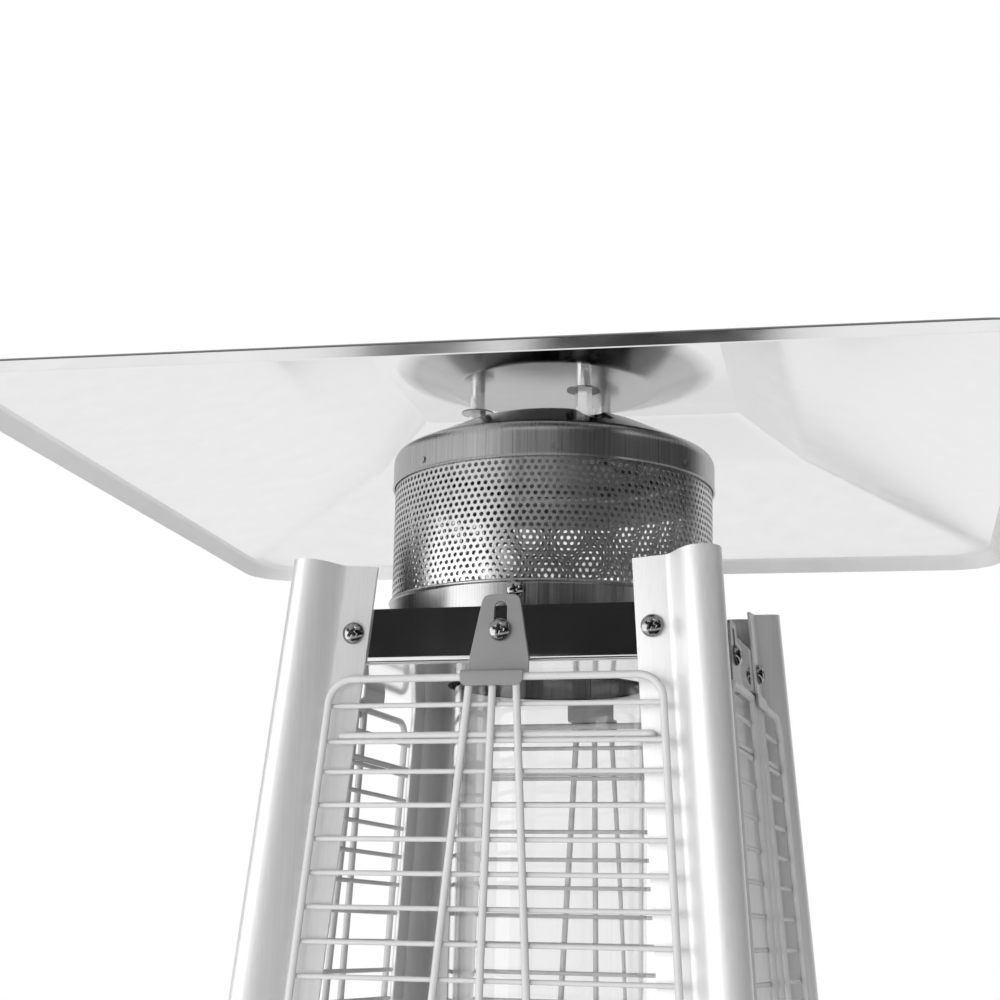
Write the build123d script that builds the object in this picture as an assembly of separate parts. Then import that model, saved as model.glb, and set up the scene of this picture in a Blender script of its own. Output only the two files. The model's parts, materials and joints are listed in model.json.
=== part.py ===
from build123d import *
import math
import os

# Pyramid patio heater: free standing, gas fired, with a glass flame tube under a square reflector.
# Lengths are millimetres. +Z is up, the front faces -Y and the origin is on the floor under the centre.

# Pyramid
pan_edge_height = 2080.0     # top edge of the upper pan above the floor
face_half = 120.0            # centre line to the face plane at that edge
lean_share = 0.0775          # how far each face leans in for each unit of height
sheet = 1.2                  # folded steel sheet
seat_gap = 0.2               # between round pieces that sit in each other
run_gap = 0.06               # radial gap of a running fit
cut_over = 4.0               # how far a cut runs past what it cuts
head_turn = 4.9              # degrees the reflector and screen sit turned on the frame

# Base tray
tray_width = 600.0
tray_top = 60.0              # upper face above the floor
tray_bottom = 14.0           # lower edge above the floor
tray_wall = 2.0
tray_corner = 28.0
tray_edge = 7.0
tray_lip = 34.0              # return flange round the bottom

# Feet pushed into the return flange
foot_radius = 16.0
foot_inset = 21.0
foot_neck = 5.0
foot_head = 7.0
foot_head_rise = 5.0

# Wheels under the rear edge
wheel_radius = 24.5
wheel_width = 20.0
wheel_rim = 18.0
wheel_hub = 8.0
wheel_web = 6.0
tyre_round = 3.3
wheel_lift = 4.0             # off the floor while the heater stands
wheel_rear = 303.0           # rearmost point of the wheels
wheel_apart = 380.0
axle_radius = 5.0
axle_head = 8.0
axle_head_thick = 4.0
ear_wall = 2.5
ear_gap = 1.5
ear_half = 13.0
notch_gap = 3.0

# Corner posts, hollow aluminium section with a flange on each face
post_wall = 2.0
flange_edge = 81.0           # centre line to the flange's free edge, at the pan's edge
bead_start = 100.6
bead_centre = 2.5            # outside the meeting line of the two face planes
bead_round = 12.1
rise_out_share = 0.30
rise_up_share = 0.07
crown_out_share = 0.45
post_rise = 26.0             # flange edge above the pan's edge
post_spare = 30.0            # cut off square at the top

# Angle feet under the posts
angle_wall = 3.0
angle_width = 15.0
angle_height = 50.0
angle_depth = 30.0

# Cabinet
panel_sheet = 1.0
panel_lap = 14.0             # under the flanges
panel_gap = 2.0              # above the tray and below the burner deck
door_gap = 2.5
door_depth = 14.0
door_low = 68.0
door_high = 770.0
hinge_in = 8.0               # from the door's edge to the pin
hinge_deep = 7.0             # behind the face
pin_radius = 2.5
pin_reach = 9.0
lug_wall = 2.0
lug_gap = 2.0
lug_side = 6.0
leg_height = 34.0
leg_clear = 12.0             # pin to the bracket's leg
leg_width = 11.0
pull_radius = 13.0
pull_neck = 7.0
pull_length = 24.0
pull_neck_length = 8.0
pull_swell = 12.0
pull_end_length = 21.5
pull_end = 11.0
pull_inset = 26.0
pull_height = 470.0
magnet_width = 9.0
magnet_tall = 46.0
magnet_deep = 10.0
magnet_gap = 0.3

# Burner deck
deck_top = 870.0
deck_skirt = 90.0
deck_sheet = 1.5
tab_apart = 150.0
tab_width = 18.0
tab_lip = 6.0
tab_drop = 7.0               # tabs below the deck
tab_gap = 0.8                # between the tab's lip and the guard

# Screws
head_radius = 6.4
head_dome = 3.4
head_edge = 1.1
shank_radius = 2.4
shank_length = 11.0
hole_gap = 0.3
cross_length = 7.0
cross_width = 1.3
cross_depth = 1.9
screw_drop = 15.0            # upper screws below the pan's edge
deck_screw_drop = 30.0       # deck screws below the deck
panel_screw_rows = 3
panel_screw_end = 60.0
small_share = 0.62           # panel screws to the frame's screws
collar_share = 0.85

# Control plate, valve and igniter
plate_over = 4.0             # lower edge above the deck's
plate_under = 24.0           # upper edge below the deck's
plate_gap = 1.0
control_drop = 52.0          # knob and button below the deck's top
control_apart = 120.0
valve_width = 44.0
valve_tall = 38.0
valve_deep = 36.0
valve_round = 4.4
neck_radius = 10.0
neck_out = 1.0
stem_radius = 4.0
stem_in = 22.0
stem_out = 24.0
stem_spare = 6.0             # bore below the stem
knob_radius = 21.0
knob_disc = 5.0
knob_grip = 16.5
knob_tall = 21.0
knob_stand = 6.5
knob_flute = 3.0
knob_flutes = 10
knob_round = 1.2
igniter_flange = 12.0
igniter_flange_thick = 2.0
igniter_radius = 9.0
igniter_deep = 44.0
plunger_radius = 5.0
plunger_in = 20.0
plunger_spare = 9.0
button_radius = 7.5
button_stand = 9.0
button_tall = 5.0
boss_radius = 6.0
boss_out = 8.0
boss_sink = 4.0
inlet_hex = 9.5
inlet_hex_tall = 8.0
inlet_radius = 8.3
inlet_length = 16.0
inlet_bore = 3.0
inlet_back = 6.0             # behind the valve's middle, clear of the door
inlet_bore_deep = 12.0

# Burner
cup_radius = 38.0
cup_flange = 42.0
cup_wall = 1.2
cup_depth = 15.0
cup_cone = 17.0
cup_neck = 14.0
cup_neck_tall = 16.0
air_hole = 4.5
air_holes = 4
gauze_rise = 9.0
gauze_sheet = 1.0
jet_radius = 16.0
jet_tall = 14.0
jet_nose = 4.0
jet_nose_tall = 10.0
pipe_radius = 4.0
pipe_bend = 22.0
pipe_apart = 20.0
pilot_ring = 49.0            # centre line to the pilot group
pilot_apart = 12.0
pilot_radius = 3.0
pilot_up = 30.0
pilot_down = 22.0
pilot_collar = 4.7
pilot_collar_thick = 2.0
pilot_pipe = 2.5
pilot_boss = 4.0
pilot_pipe_drop = 42.0
pilot_bend = 9.0
probe_radius = 2.0
probe_drop = 62.0
probe_bend = 12.0
electrode_radius = 3.2
electrode_tip = 1.2
electrode_tip_up = 12.0
lead_radius = 1.8
lead_bend = 14.0
tilt_width = 30.0
tilt_deep = 22.0
tilt_tall = 24.0
tilt_round = 2.2
tilt_place = 88.0

# Flame tube and its seat
tube_radius = 62.5
tube_wall = 3.0
tube_top_rise = 20.0         # above the pan's edge
gasket_floor = 3.0
gasket_wall = 3.2
gasket_height = 11.0

# Upper pan
pan_skirt = 34.0
pan_hole_gap = 4.5           # round the tube

# Perforated burner screen with its collar and cap
screen_radius = 105.0
screen_wall = 0.8
screen_low = -14.0           # heights from the pan's edge
collar_top = 19.0
collar_wall = 1.0
collar_lip = 1.3             # rolled top edge
collar_foot = 6.0
collar_screw_height = 12.0
collar_screw_turn = -2.2     # degrees from the head's sides
cap_low = 94.5
cap_shoulder = 116.5
cap_round = 4.0
cap_disc = 57.0
cap_top = 140.0
cap_curl = 1.2
rivet_radius = 2.3
rivet_thick = 1.6            # half of it stands out of the cap
rivet_height = 101.0
rivet_count = 7
rivet_turn = -80.0

# Stand-offs that carry the reflector
standoff_count = 3
standoff_ring = 53.0
standoff_turn = -60.0
pocket_radius = 13.0
pocket_floor = 134.0
hex_radius = 5.6
nut_radius = 7.4
nut_tall = 6.0
washer_height = 152.3
washer_radius = 10.8
washer_thick = 1.0
spacer_radius = 5.0
stud_radius = 3.0
stud_down = 8.0
stud_up = 16.0
wing_span = 14.0
wing_tall = 12.0
wing_hub = 6.0
wing_hub_tall = 6.0
wing_thick = 2.4
wing_base = 8.4
wing_step = 7.0              # outer corner of a wing above the sheet
wing_inner = 11.0

# Reflector, heights from the pan's edge
reflector_half = 305.0
reflector_low = 98.5
reflector_sheet = 0.8
lip_rise = 9.5
lip_in = 8.0
reflector_corner = 38.0
crease_half = 158.5
crease_height = 154.0
crease_corner = 6.0
plateau_half = 115.0
plateau_height = 180.0
dish_rim = 104.5
dish_flat = 67.0
dish_height = 167.5

# Wire guards
frame_wire = 2.25
cross_wire = 1.5
spacer_wire = 2.0
guard_out = 10.0             # centre of the frame wire out of the face
guard_half_top = 102.5       # outside of the frame at its top
guard_share = 0.07           # how much the frame widens for each unit of height
guard_top_drop = 45.4        # top wire below the pan's edge
guard_corner = 15.0
guard_pitch = 19.55
guard_first = 15.5           # top wire to the first cross wire
weld_sink = 0.4
wire_sides = 12
fan_top = 14.0
fan_share = 0.073
pair_apart = 3.7             # spacer bar above its cross wire
spacer_half_top = 91.5
spacer_bend = 4.0
foot_gap = 0.1               # spacer bar's ends to the flange

# Clips that hold the guards
clip_top_half = 11.2
clip_low_half = 18.5
clip_rise = 6.9              # above the pan's edge
clip_sheet = 1.5
clip_round = 5.0
clip_slot = 3.5
clip_slot_up = 18.5          # slot's top above the screw
clip_slot_down = 6.0
clip_out = 14.8              # plate to lip
lip_round = 4.0
clip_lip = 10.0
clip_lip_half = 19.0
clip_over = 0.5              # shelf above the guard's top wire

# Worked out from the sizes above
slope_length = math.hypot(1, lean_share)
lean_angle = math.degrees(math.atan(lean_share))
quarter = 90
full_turn = 360
flange_deep = post_wall / slope_length
skirt_deep = flange_deep + deck_sheet / slope_length
deck_low = deck_top - deck_skirt
plate_low = deck_low + plate_over
plate_high = deck_top - plate_under
control_height = deck_top - control_drop
jet_top = deck_top - cup_depth - cup_cone - cup_neck_tall
jet_middle = jet_top - jet_tall / 2
tube_low = deck_top + gasket_floor
tube_top = pan_edge_height + tube_top_rise
tube_bore = tube_radius - tube_wall
wheel_height = wheel_lift + wheel_radius
wheel_place = wheel_rear - wheel_radius
weld_plane = guard_out - frame_wire + weld_sink
guard_top = pan_edge_height - guard_top_drop
guard_bottom = deck_top - tab_drop + frame_wire


def face_at(height):
    return face_half + lean_share * (pan_edge_height - height)


def edge_at(height):
    return flange_edge + lean_share * (pan_edge_height - height)


def flange_middle(height):
    return (flange_edge + bead_start) / 2 + lean_share * (pan_edge_height - height)


# Local x runs right, local y up along the leaning front face, local z out of it
def face_plane(height):
    return Plane(origin=(0, -face_at(height), height), x_dir=(1, 0, 0), z_dir=(0, -1, lean_share))


def on_face(quarters, shape):
    return Rot(0, 0, quarter * quarters) * shape


def rod(radius, start, end):
    along = Vector(end) - Vector(start)
    return Solid.extrude(Plane(origin=start, z_dir=along) * Circle(radius).face(), along)


def ring(outer, inner, low, high):
    wide = Pos(0, 0, low) * Cylinder(outer, high - low, align=(Align.CENTER, Align.CENTER, Align.MIN))
    bore = Pos(0, 0, low - cut_over) * Cylinder(
        inner, high - low + 2 * cut_over, align=(Align.CENTER, Align.CENTER, Align.MIN)
    )
    return wide - bore


def turned_profile(points):
    return revolve(Plane.XZ * make_face(Polyline(*points, close=True)), Axis.Z)


def bent_tube(radius, bend, points):
    route = FilletPolyline(*points, radius=bend)
    section = Plane(origin=points[0], z_dir=Vector(points[1]) - Vector(points[0])) * Circle(radius)
    return sweep(section, path=route)


# A shape set on the front face, at a height on it and a distance out of it
def at_face(height, across, out, shape):
    return face_plane(height) * Pos(across, 0, out) * shape


def upright(radius, low, high):
    return Pos(0, 0, low) * Cylinder(radius, high - low, align=(Align.CENTER, Align.CENTER, Align.MIN))


def block(width, tall, low, high):
    return Pos(0, 0, low) * Box(width, tall, high - low, align=(Align.CENTER, Align.CENTER, Align.MIN))


# A straight-sided pyramid stump that follows the four leaning faces
def stump(low, high, inside):
    width = 2 * (face_at(low) - inside)
    return Pos(0, 0, low) * extrude(Rectangle(width, width), high - low, taper=lean_angle)


def frame_holes(height, across, radius):
    cut = at_face(height, across, 0, upright(radius, -head_radius * 2, head_radius))
    return [on_face(turn, cut) for turn in range(4)]


def make_screw(share, shank):
    head = Pos(0, 0, head_edge * share) * Sphere(head_radius * share)
    head = head & block(head_radius * 3, head_radius * 3, head_edge * share, head_radius * 2)
    flat = head_dome / head_radius
    head = scale(head, (1, 1, flat))
    head = Pos(0, 0, head_edge * share * (1 - flat)) * head
    head = head + upright(head_radius * share, 0, head_edge * share)
    tip = (head_edge + head_dome) * share
    for turn in range(2):
        slot = block(cross_length * share, cross_width * share, tip - cross_depth * share, tip + cut_over)
        head = head - Rot(0, 0, quarter * turn + quarter / 2) * slot
    return head + upright(shank_radius * share, -shank, 0)


# Base tray with a return flange and a notch for each wheel
def make_tray():
    tall = tray_top - tray_bottom
    body = Pos(0, 0, tray_bottom) * extrude(RectangleRounded(tray_width, tray_width, tray_corner), tall)
    body = fillet(body.edges().group_by(Axis.Z)[-1], tray_edge)
    inner = tray_width - 2 * tray_wall
    room = Pos(0, 0, tray_bottom + tray_wall) * extrude(
        RectangleRounded(inner, inner, tray_corner - tray_wall), tall - 2 * tray_wall
    )
    room = fillet(room.edges().group_by(Axis.Z)[-1], tray_edge - tray_wall)
    mouth_width = tray_width - 2 * tray_lip
    mouth = block(mouth_width, mouth_width, tray_bottom - cut_over, tray_bottom + tray_wall + cut_over)
    body = body - room - mouth
    reach = wheel_radius + notch_gap
    notch_width = wheel_width + 2 * (ear_wall + ear_gap + notch_gap)
    for side in (-1, 1):
        notch = Box(notch_width, 2 * reach, tray_top - tray_wall - tray_bottom + cut_over, align=(
            Align.CENTER, Align.CENTER, Align.MAX))
        place = Pos(side * wheel_apart / 2, wheel_place, tray_top - tray_wall)
        rear = Pos(side * wheel_apart / 2, tray_width / 2, tray_top - tray_wall)
        body = body - place * notch - rear * notch
    for x in (-1, 1):
        for y in (-1, 1):
            spot = (x * (tray_width / 2 - foot_inset), y * (tray_width / 2 - foot_inset), 0)
            hole = upright(foot_neck, tray_bottom - cut_over, tray_bottom + tray_wall + cut_over / 2)
            body = body - Pos(*spot) * hole
    return body


def make_feet():
    pad = upright(foot_radius, 0, tray_bottom)
    neck = upright(foot_neck, tray_bottom, tray_bottom + tray_wall)
    head_low = tray_bottom + tray_wall
    head = Pos(0, 0, head_low) * Cone(
        foot_head, foot_neck / 2, foot_head_rise, align=(Align.CENTER, Align.CENTER, Align.MIN)
    )
    foot = pad + neck + head
    spot = tray_width / 2 - foot_inset
    return Compound(children=[Pos(x * spot, y * spot, 0) * foot for x in (-1, 1) for y in (-1, 1)])


# Wheels, their forks and their axles
def make_fork():
    gap = wheel_width / 2 + ear_gap
    low = wheel_height - ear_half
    top = tray_top - tray_wall
    outer = block(2 * (gap + ear_wall), 2 * ear_half, 0, top - low)
    slot = block(2 * gap, 2 * ear_half + cut_over, 0, top - low - ear_wall)
    fork = Pos(0, 0, low) * (outer - slot)
    bore = Pos(0, 0, wheel_height) * Rot(0, quarter, 0) * Cylinder(axle_radius, 4 * gap)
    return Pos(0, wheel_place, 0) * (fork - bore)


def make_axle():
    reach = wheel_width / 2 + ear_gap + ear_wall
    axle = upright(axle_radius, -reach, reach) + upright(axle_head, reach, reach + axle_head_thick)
    axle = axle + upright(axle_head, -reach - axle_head_thick, -reach)
    return Pos(0, wheel_place, wheel_height) * Rot(0, quarter, 0) * axle


def make_wheel():
    half = wheel_width / 2
    wheel = upright(wheel_radius, -half, half)
    wheel = fillet(wheel.edges(), tyre_round)
    for side in (-1, 1):
        dish = ring(wheel_rim, wheel_hub, wheel_web / 2, half + cut_over)
        wheel = wheel - Rot(quarter * (1 - side), 0, 0) * dish
    wheel = wheel - upright(axle_radius + run_gap, -wheel_width, wheel_width)
    return Pos(0, wheel_place, wheel_height) * Rot(0, quarter, 0) * wheel


# Corner post section, seen from above, with its two face planes on the axes
def post_section():
    edge = flange_edge - face_half
    start = bead_start - face_half
    crown = bead_centre + bead_round
    span = bead_centre - start
    inner_start = start + post_wall / 2
    inner_crown = crown - post_wall
    inner_span = bead_centre - inner_start

    def rise(begin, width, base, top):
        return [
            (begin, base),
            (begin + rise_out_share * width, base + rise_up_share * top),
            (begin + crown_out_share * width, top),
            (bead_centre, top),
        ]

    def flipped(points):
        return [(y, x) for x, y in reversed(points)]

    outer = rise(start, span, 0, crown)
    inner = rise(inner_start, inner_span, -post_wall, inner_crown)
    outer_mid = bead_centre + bead_round / math.sqrt(2)
    inner_mid = bead_centre + (bead_round - post_wall) / math.sqrt(2)
    lines = [
        Line((edge, 0), outer[0]),
        Bezier(*outer),
        ThreePointArc((bead_centre, crown), (outer_mid, outer_mid), (crown, bead_centre)),
        Bezier(*flipped(outer)),
        Line((0, start), (0, edge)),
        Line((0, edge), (-post_wall, edge)),
        Line((-post_wall, edge), (-post_wall, inner_start)),
        Bezier(*reversed(flipped(inner))),
        ThreePointArc((inner_crown, bead_centre), (inner_mid, inner_mid), (bead_centre, inner_crown)),
        Bezier(*reversed(inner)),
        Line((inner_start, -post_wall), (edge, -post_wall)),
        Line((edge, -post_wall), (edge, 0)),
    ]
    return make_face(lines)


def make_posts():
    top = pan_edge_height + post_rise
    tall = top - tray_top + post_spare
    low_corner = face_at(tray_top)
    section = Pos(low_corner, low_corner, tray_top) * post_section()
    along = Vector(-lean_share, -lean_share, 1)
    post = Solid.extrude(section.face(), along * tall)
    cut = Plane(origin=(edge_at(top), face_at(top), top), z_dir=along)
    post = split(post, bisect_by=cut, keep=Keep.BOTTOM)
    holes = []
    for height in (pan_edge_height - screw_drop, deck_top - deck_screw_drop):
        for side in (-1, 1):
            holes += frame_holes(height, side * flange_middle(height), shank_radius + hole_gap)
    for height in panel_screw_heights():
        for side in (-1, 1):
            spots = frame_holes(height, side * flange_middle(height), small_share * shank_radius + hole_gap)
            holes += spots[1:]
    posts = []
    for turn in range(4):
        one = Rot(0, 0, quarter * turn) * post
        middle = one.bounding_box().center()
        near = [hole for hole in holes if hole.center().X * middle.X > 0 and hole.center().Y * middle.Y > 0]
        posts.append(one.cut(*near) if near else one)
    return posts


def make_angle_feet():
    feet = []
    middle = (edge_at(tray_top) + face_at(tray_top) + bead_start - face_half) / 2
    back = -(post_wall + panel_sheet) / slope_length
    leg = Pos(middle, 0, back - angle_wall) * Box(
        angle_width, angle_height, angle_wall, align=(Align.CENTER, Align.MIN, Align.MIN)
    )
    base_y = -face_at(tray_top) + post_wall + panel_sheet + angle_wall / 2
    base = Pos(middle, base_y, tray_top) * Box(
        angle_width, angle_depth, angle_wall, align=(Align.CENTER, Align.MIN, Align.MIN)
    )
    keep = block(tray_width, tray_width, tray_top, tray_top + angle_height)
    foot = (face_plane(tray_top) * leg + base) & keep
    for turn in (1, 3):
        feet.append(on_face(turn, foot))
        feet.append(on_face(turn, mirror(foot, Plane.YZ)))
    return Compound(children=feet)


# Cabinet panels behind the post flanges
def panel_screw_heights():
    low = tray_top + panel_screw_end
    high = deck_low - panel_screw_end
    step = (high - low) / (panel_screw_rows - 1)
    return [low + row * step for row in range(panel_screw_rows)]


def face_sheet(low, high, low_half, high_half, back, thick):
    tall = (high - low) * slope_length
    outline = Polyline(
        (-low_half, 0), (low_half, 0), (high_half, tall), (-high_half, tall), close=True
    )
    return face_plane(low) * Pos(0, 0, back) * extrude(make_face(outline), thick)


def make_panel(turn):
    low = tray_top + panel_gap
    high = deck_low - panel_gap
    thick = panel_sheet / slope_length
    back = -flange_deep - thick
    panel = face_sheet(low, high, edge_at(low) + panel_lap, edge_at(high) + panel_lap, back, thick)
    for height in panel_screw_heights():
        for side in (-1, 1):
            hole = frame_holes(height, side * flange_middle(height), small_share * shank_radius + hole_gap)[0]
            panel = panel - hole
    return on_face(turn, panel)


def make_panel_screws():
    screw = make_screw(small_share, shank_length * small_share)
    spots = []
    for turn in (1, 2, 3):
        for height in panel_screw_heights():
            for side in (-1, 1):
                spots.append(on_face(turn, at_face(height, side * flange_middle(height), 0, screw)))
    return Compound(children=spots)


# Front door on two pins at its left edge
def hinge_point(height):
    return Vector(-edge_at(height) + door_gap + hinge_in, -face_at(height) + hinge_deep, height)


def hinge_plane(height):
    return Plane(origin=hinge_point(height), x_dir=(1, 0, -lean_share), z_dir=(lean_share, lean_share, 1))


def make_door():
    thick = door_depth / slope_length
    low_half = edge_at(door_low) - door_gap
    high_half = edge_at(door_high) - door_gap
    skin = sheet / slope_length
    door = face_sheet(door_low, door_high, low_half, high_half, -thick, thick)
    rise = skin * lean_share
    room = face_sheet(
        door_low + sheet, door_high - sheet, low_half - sheet - rise, high_half - sheet + rise,
        -thick - cut_over, thick - skin + cut_over
    )
    door = door - room
    for height in (door_low, door_high):
        door = door - hinge_plane(height) * upright(pin_radius + run_gap, -pin_reach * 2, pin_reach * 2)
    across = edge_at(pull_height) - door_gap - pull_inset
    return door - at_face(pull_height, across, 0, upright(shank_radius, -door_depth / 2, cut_over))


def make_hinge_brackets():
    brackets = []
    for height, up in ((door_low, -1), (door_high, 1)):
        plane = hinge_plane(height + up * lug_gap)
        low = 0 if up > 0 else -lug_wall
        arm = leg_clear + leg_width
        lug = Pos(-arm, -hinge_deep + post_wall + seat_gap, low) * Box(
            arm + lug_side, hinge_deep + lug_side - post_wall, lug_wall,
            align=(Align.MIN, Align.MIN, Align.MIN)
        )
        leg_low = -leg_height if up > 0 else 0
        leg = Pos(-arm, -hinge_deep + post_wall + seat_gap, leg_low) * Box(
            leg_width, lug_wall, leg_height, align=(Align.MIN, Align.MIN, Align.MIN)
        )
        bracket = plane * (lug + leg)
        bracket = bracket - hinge_plane(height) * upright(pin_radius, -pin_reach * 2, pin_reach * 2)
        brackets.append(bracket)
    return Compound(children=brackets)


def make_hinge_pins():
    top = lug_gap + lug_wall
    pins = [
        hinge_plane(door_low) * upright(pin_radius, -top, pin_reach),
        hinge_plane(door_high) * upright(pin_radius, -pin_reach, top),
    ]
    return Compound(children=pins)


def make_door_pull():
    profile = [
        (0, 0), (pull_neck, 0), (pull_neck, pull_neck_length), (pull_radius, pull_swell),
        (pull_radius, pull_end_length), (pull_end, pull_length), (0, pull_length)
    ]
    pull = turned_profile(profile) + upright(shank_radius, -sheet - post_wall, 0)
    across = edge_at(pull_height) - door_gap - pull_inset
    return at_face(pull_height, across, 0, pull)


def make_magnet():
    out = -flange_deep - magnet_deep
    height = pull_height
    across = edge_at(height) - door_gap + 2 * magnet_gap + magnet_width / 2
    magnet = Box(magnet_width, magnet_tall, magnet_deep, align=(Align.CENTER, Align.CENTER, Align.MIN))
    return face_plane(height) * Pos(across, 0, out) * Rot(0, 0, lean_angle) * magnet


# Burner deck, an upturned pan that ties the posts and holds the controls
def make_deck():
    deck = stump(deck_low, deck_top, post_wall)
    deck = deck - stump(deck_low - cut_over, deck_top - deck_sheet, post_wall + deck_sheet)
    deck = deck - upright(cup_radius + seat_gap, deck_low, deck_top + cut_over)
    for spot in pilot_spots():
        deck = deck - Pos(*spot, 0) * upright(pilot_radius + seat_gap * 2, deck_low, deck_top + cut_over)
    for side in (-1, 1):
        height = deck_top - deck_screw_drop
        for hole in frame_holes(height, side * flange_middle(height), shank_radius + hole_gap):
            deck = deck - hole
    knob_side = -control_apart / 2
    neck_hole = upright(neck_radius + seat_gap, -valve_deep / 2, cut_over)
    deck = deck - at_face(control_height, knob_side, 0, neck_hole)
    deck = deck - at_face(
        control_height, -knob_side, 0, upright(igniter_radius + seat_gap, -valve_deep / 2, cut_over)
    )
    shelf_out = guard_out + frame_wire + tab_gap + deck_sheet
    seat = guard_bottom - frame_wire
    for side in (-1, 1):
        shelf = Pos(side * tab_apart / 2, 0, -flange_deep - deck_sheet / 2) * Box(
            tab_width, deck_sheet, shelf_out + flange_deep + deck_sheet / 2,
            align=(Align.CENTER, Align.MAX, Align.MIN)
        )
        lip = Pos(side * tab_apart / 2, -deck_sheet, shelf_out - deck_sheet) * Box(
            tab_width, tab_lip + deck_sheet, deck_sheet, align=(Align.CENTER, Align.MIN, Align.MIN)
        )
        tab = face_plane(seat) * (shelf + lip)
        for turn in range(4):
            deck = deck + on_face(turn, tab)
    return deck


def make_control_plate():
    low_half = edge_at(plate_low) - plate_gap
    high_half = edge_at(plate_high) - plate_gap
    plate = face_sheet(plate_low, plate_high, low_half, high_half, -flange_deep, flange_deep)
    knob_side = -control_apart / 2
    neck_hole = upright(neck_radius + seat_gap, -cut_over, cut_over)
    igniter_hole = upright(igniter_radius + seat_gap, -cut_over, cut_over)
    plate = plate - at_face(control_height, knob_side, 0, neck_hole)
    return plate - at_face(control_height, -knob_side, 0, igniter_hole)


# Gas valve with its stem, knob and threaded inlet
def make_valve():
    body = block(valve_width, valve_tall, -skirt_deep - valve_deep, -skirt_deep)
    body = fillet(body.edges().filter_by(Axis.Z), valve_round)
    body = body + upright(neck_radius, -skirt_deep - boss_sink, neck_out)
    body = at_face(control_height, -control_apart / 2, 0, body)
    for x, z, radius in valve_outlets():
        boss = Pos(x, valve_rear() - boss_sink, z) * Rot(-quarter, 0, 0) * upright(
            radius, 0, boss_sink + boss_out
        )
        body = body + boss
    bore = upright(stem_radius + run_gap, -stem_in - stem_spare, neck_out + cut_over)
    return body - at_face(control_height, -control_apart / 2, 0, bore)


def valve_rear():
    deep = skirt_deep + valve_deep
    return -face_at(control_height) + deep * slope_length - valve_tall / 2 * lean_share


def valve_outlets():
    middle = -control_apart / 2
    gas = (middle - pipe_apart / 2, jet_middle, boss_radius)
    pilot = (middle + pipe_apart / 2, deck_top - pilot_pipe_drop, pilot_boss)
    return [gas, pilot]


def make_stem():
    stem = upright(stem_radius, -stem_in, stem_out)
    return at_face(control_height, -control_apart / 2, 0, stem)


def make_knob():
    low = knob_stand
    high = knob_stand + knob_tall
    knob = upright(knob_radius, low, low + knob_disc) + upright(knob_grip, low, high)
    knob = fillet(knob.edges().group_by(Axis.Z)[-1], knob_round)
    for turn in range(knob_flutes):
        angle = full_turn / knob_flutes * turn
        flute = Rot(0, 0, angle) * Pos(knob_grip + knob_flute / 2, 0, 0)
        knob = knob - flute * upright(knob_flute, low + knob_disc, high + cut_over)
    knob = knob - upright(stem_radius + run_gap, low - cut_over, stem_out + seat_gap)
    return at_face(control_height, -control_apart / 2, 0, knob)


def make_inlet():
    fitting = extrude(RegularPolygon(inlet_hex, 6), inlet_hex_tall)
    fitting = fitting + upright(inlet_radius, inlet_hex_tall, inlet_hex_tall + inlet_length)
    tip = inlet_hex_tall + inlet_length
    fitting = fitting - upright(inlet_bore, tip - inlet_bore_deep, tip + cut_over)
    down = Pos(0, -valve_tall / 2, -skirt_deep - valve_deep / 2 - inlet_back) * Rot(quarter, 0, 0)
    return at_face(control_height, -control_apart / 2, 0, down * fitting)


# Spark igniter with its button
def make_igniter():
    body = upright(igniter_radius, -skirt_deep - igniter_deep, 0)
    body = body + upright(igniter_flange, 0, igniter_flange_thick)
    body = at_face(control_height, control_apart / 2, 0, body)
    deep = (skirt_deep + igniter_deep) / slope_length
    rear = -face_at(control_height) + deep
    boss = Pos(control_apart / 2, rear - boss_sink, lead_height()) * Rot(-quarter, 0, 0)
    body = body + boss * upright(boss_radius / 2, 0, boss_sink + boss_out)
    bore = upright(plunger_radius + run_gap, -plunger_in - plunger_spare, igniter_flange_thick + cut_over)
    return body - at_face(control_height, control_apart / 2, 0, bore)


def igniter_tip():
    return -face_at(control_height) + (skirt_deep + igniter_deep) / slope_length + boss_out


def lead_height():
    return control_height - (skirt_deep + igniter_deep) * lean_share / slope_length


def make_button():
    button = upright(plunger_radius, -plunger_in, button_stand)
    cap = upright(button_radius, button_stand, button_stand + button_tall)
    cap = fillet(cap.edges().group_by(Axis.Z)[-1], knob_round)
    return at_face(control_height, control_apart / 2, 0, button + cap)


# Burner cup, gauze, jet and pilot group
def make_cup():
    top = deck_top + cup_wall
    low = deck_top - cup_depth
    cone = low - cup_cone
    outer, neck, wall = cup_radius, cup_neck, cup_wall
    profile = [
        (outer - wall, top), (cup_flange, top), (cup_flange, deck_top), (outer, deck_top), (outer, low),
        (neck, cone), (neck, jet_top), (neck - wall, jet_top), (neck - wall, cone), (outer - wall, low)
    ]
    cup = turned_profile(profile)
    for turn in range(air_holes):
        hole = Rot(0, 0, full_turn / air_holes * turn + quarter / 2) * Rot(0, quarter, 0)
        cup = cup - Pos(0, 0, jet_top + cup_neck_tall / 2) * hole * upright(air_hole, 0, cup_neck * 2)
    return cup


def make_gauze():
    low = deck_top + cup_wall
    high = low + gauze_rise
    inner = cup_radius - gauze_sheet * 2
    profile = [
        (0, high), (inner, high), (inner, low + gauze_sheet), (cup_flange, low + gauze_sheet),
        (cup_flange, low),
        (inner - gauze_sheet, low), (inner - gauze_sheet, high - gauze_sheet), (0, high - gauze_sheet)
    ]
    return turned_profile(profile)


def make_jet():
    jet = upright(jet_radius, jet_top - jet_tall, jet_top)
    return jet + upright(jet_nose, jet_top, jet_top + jet_nose_tall)


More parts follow.
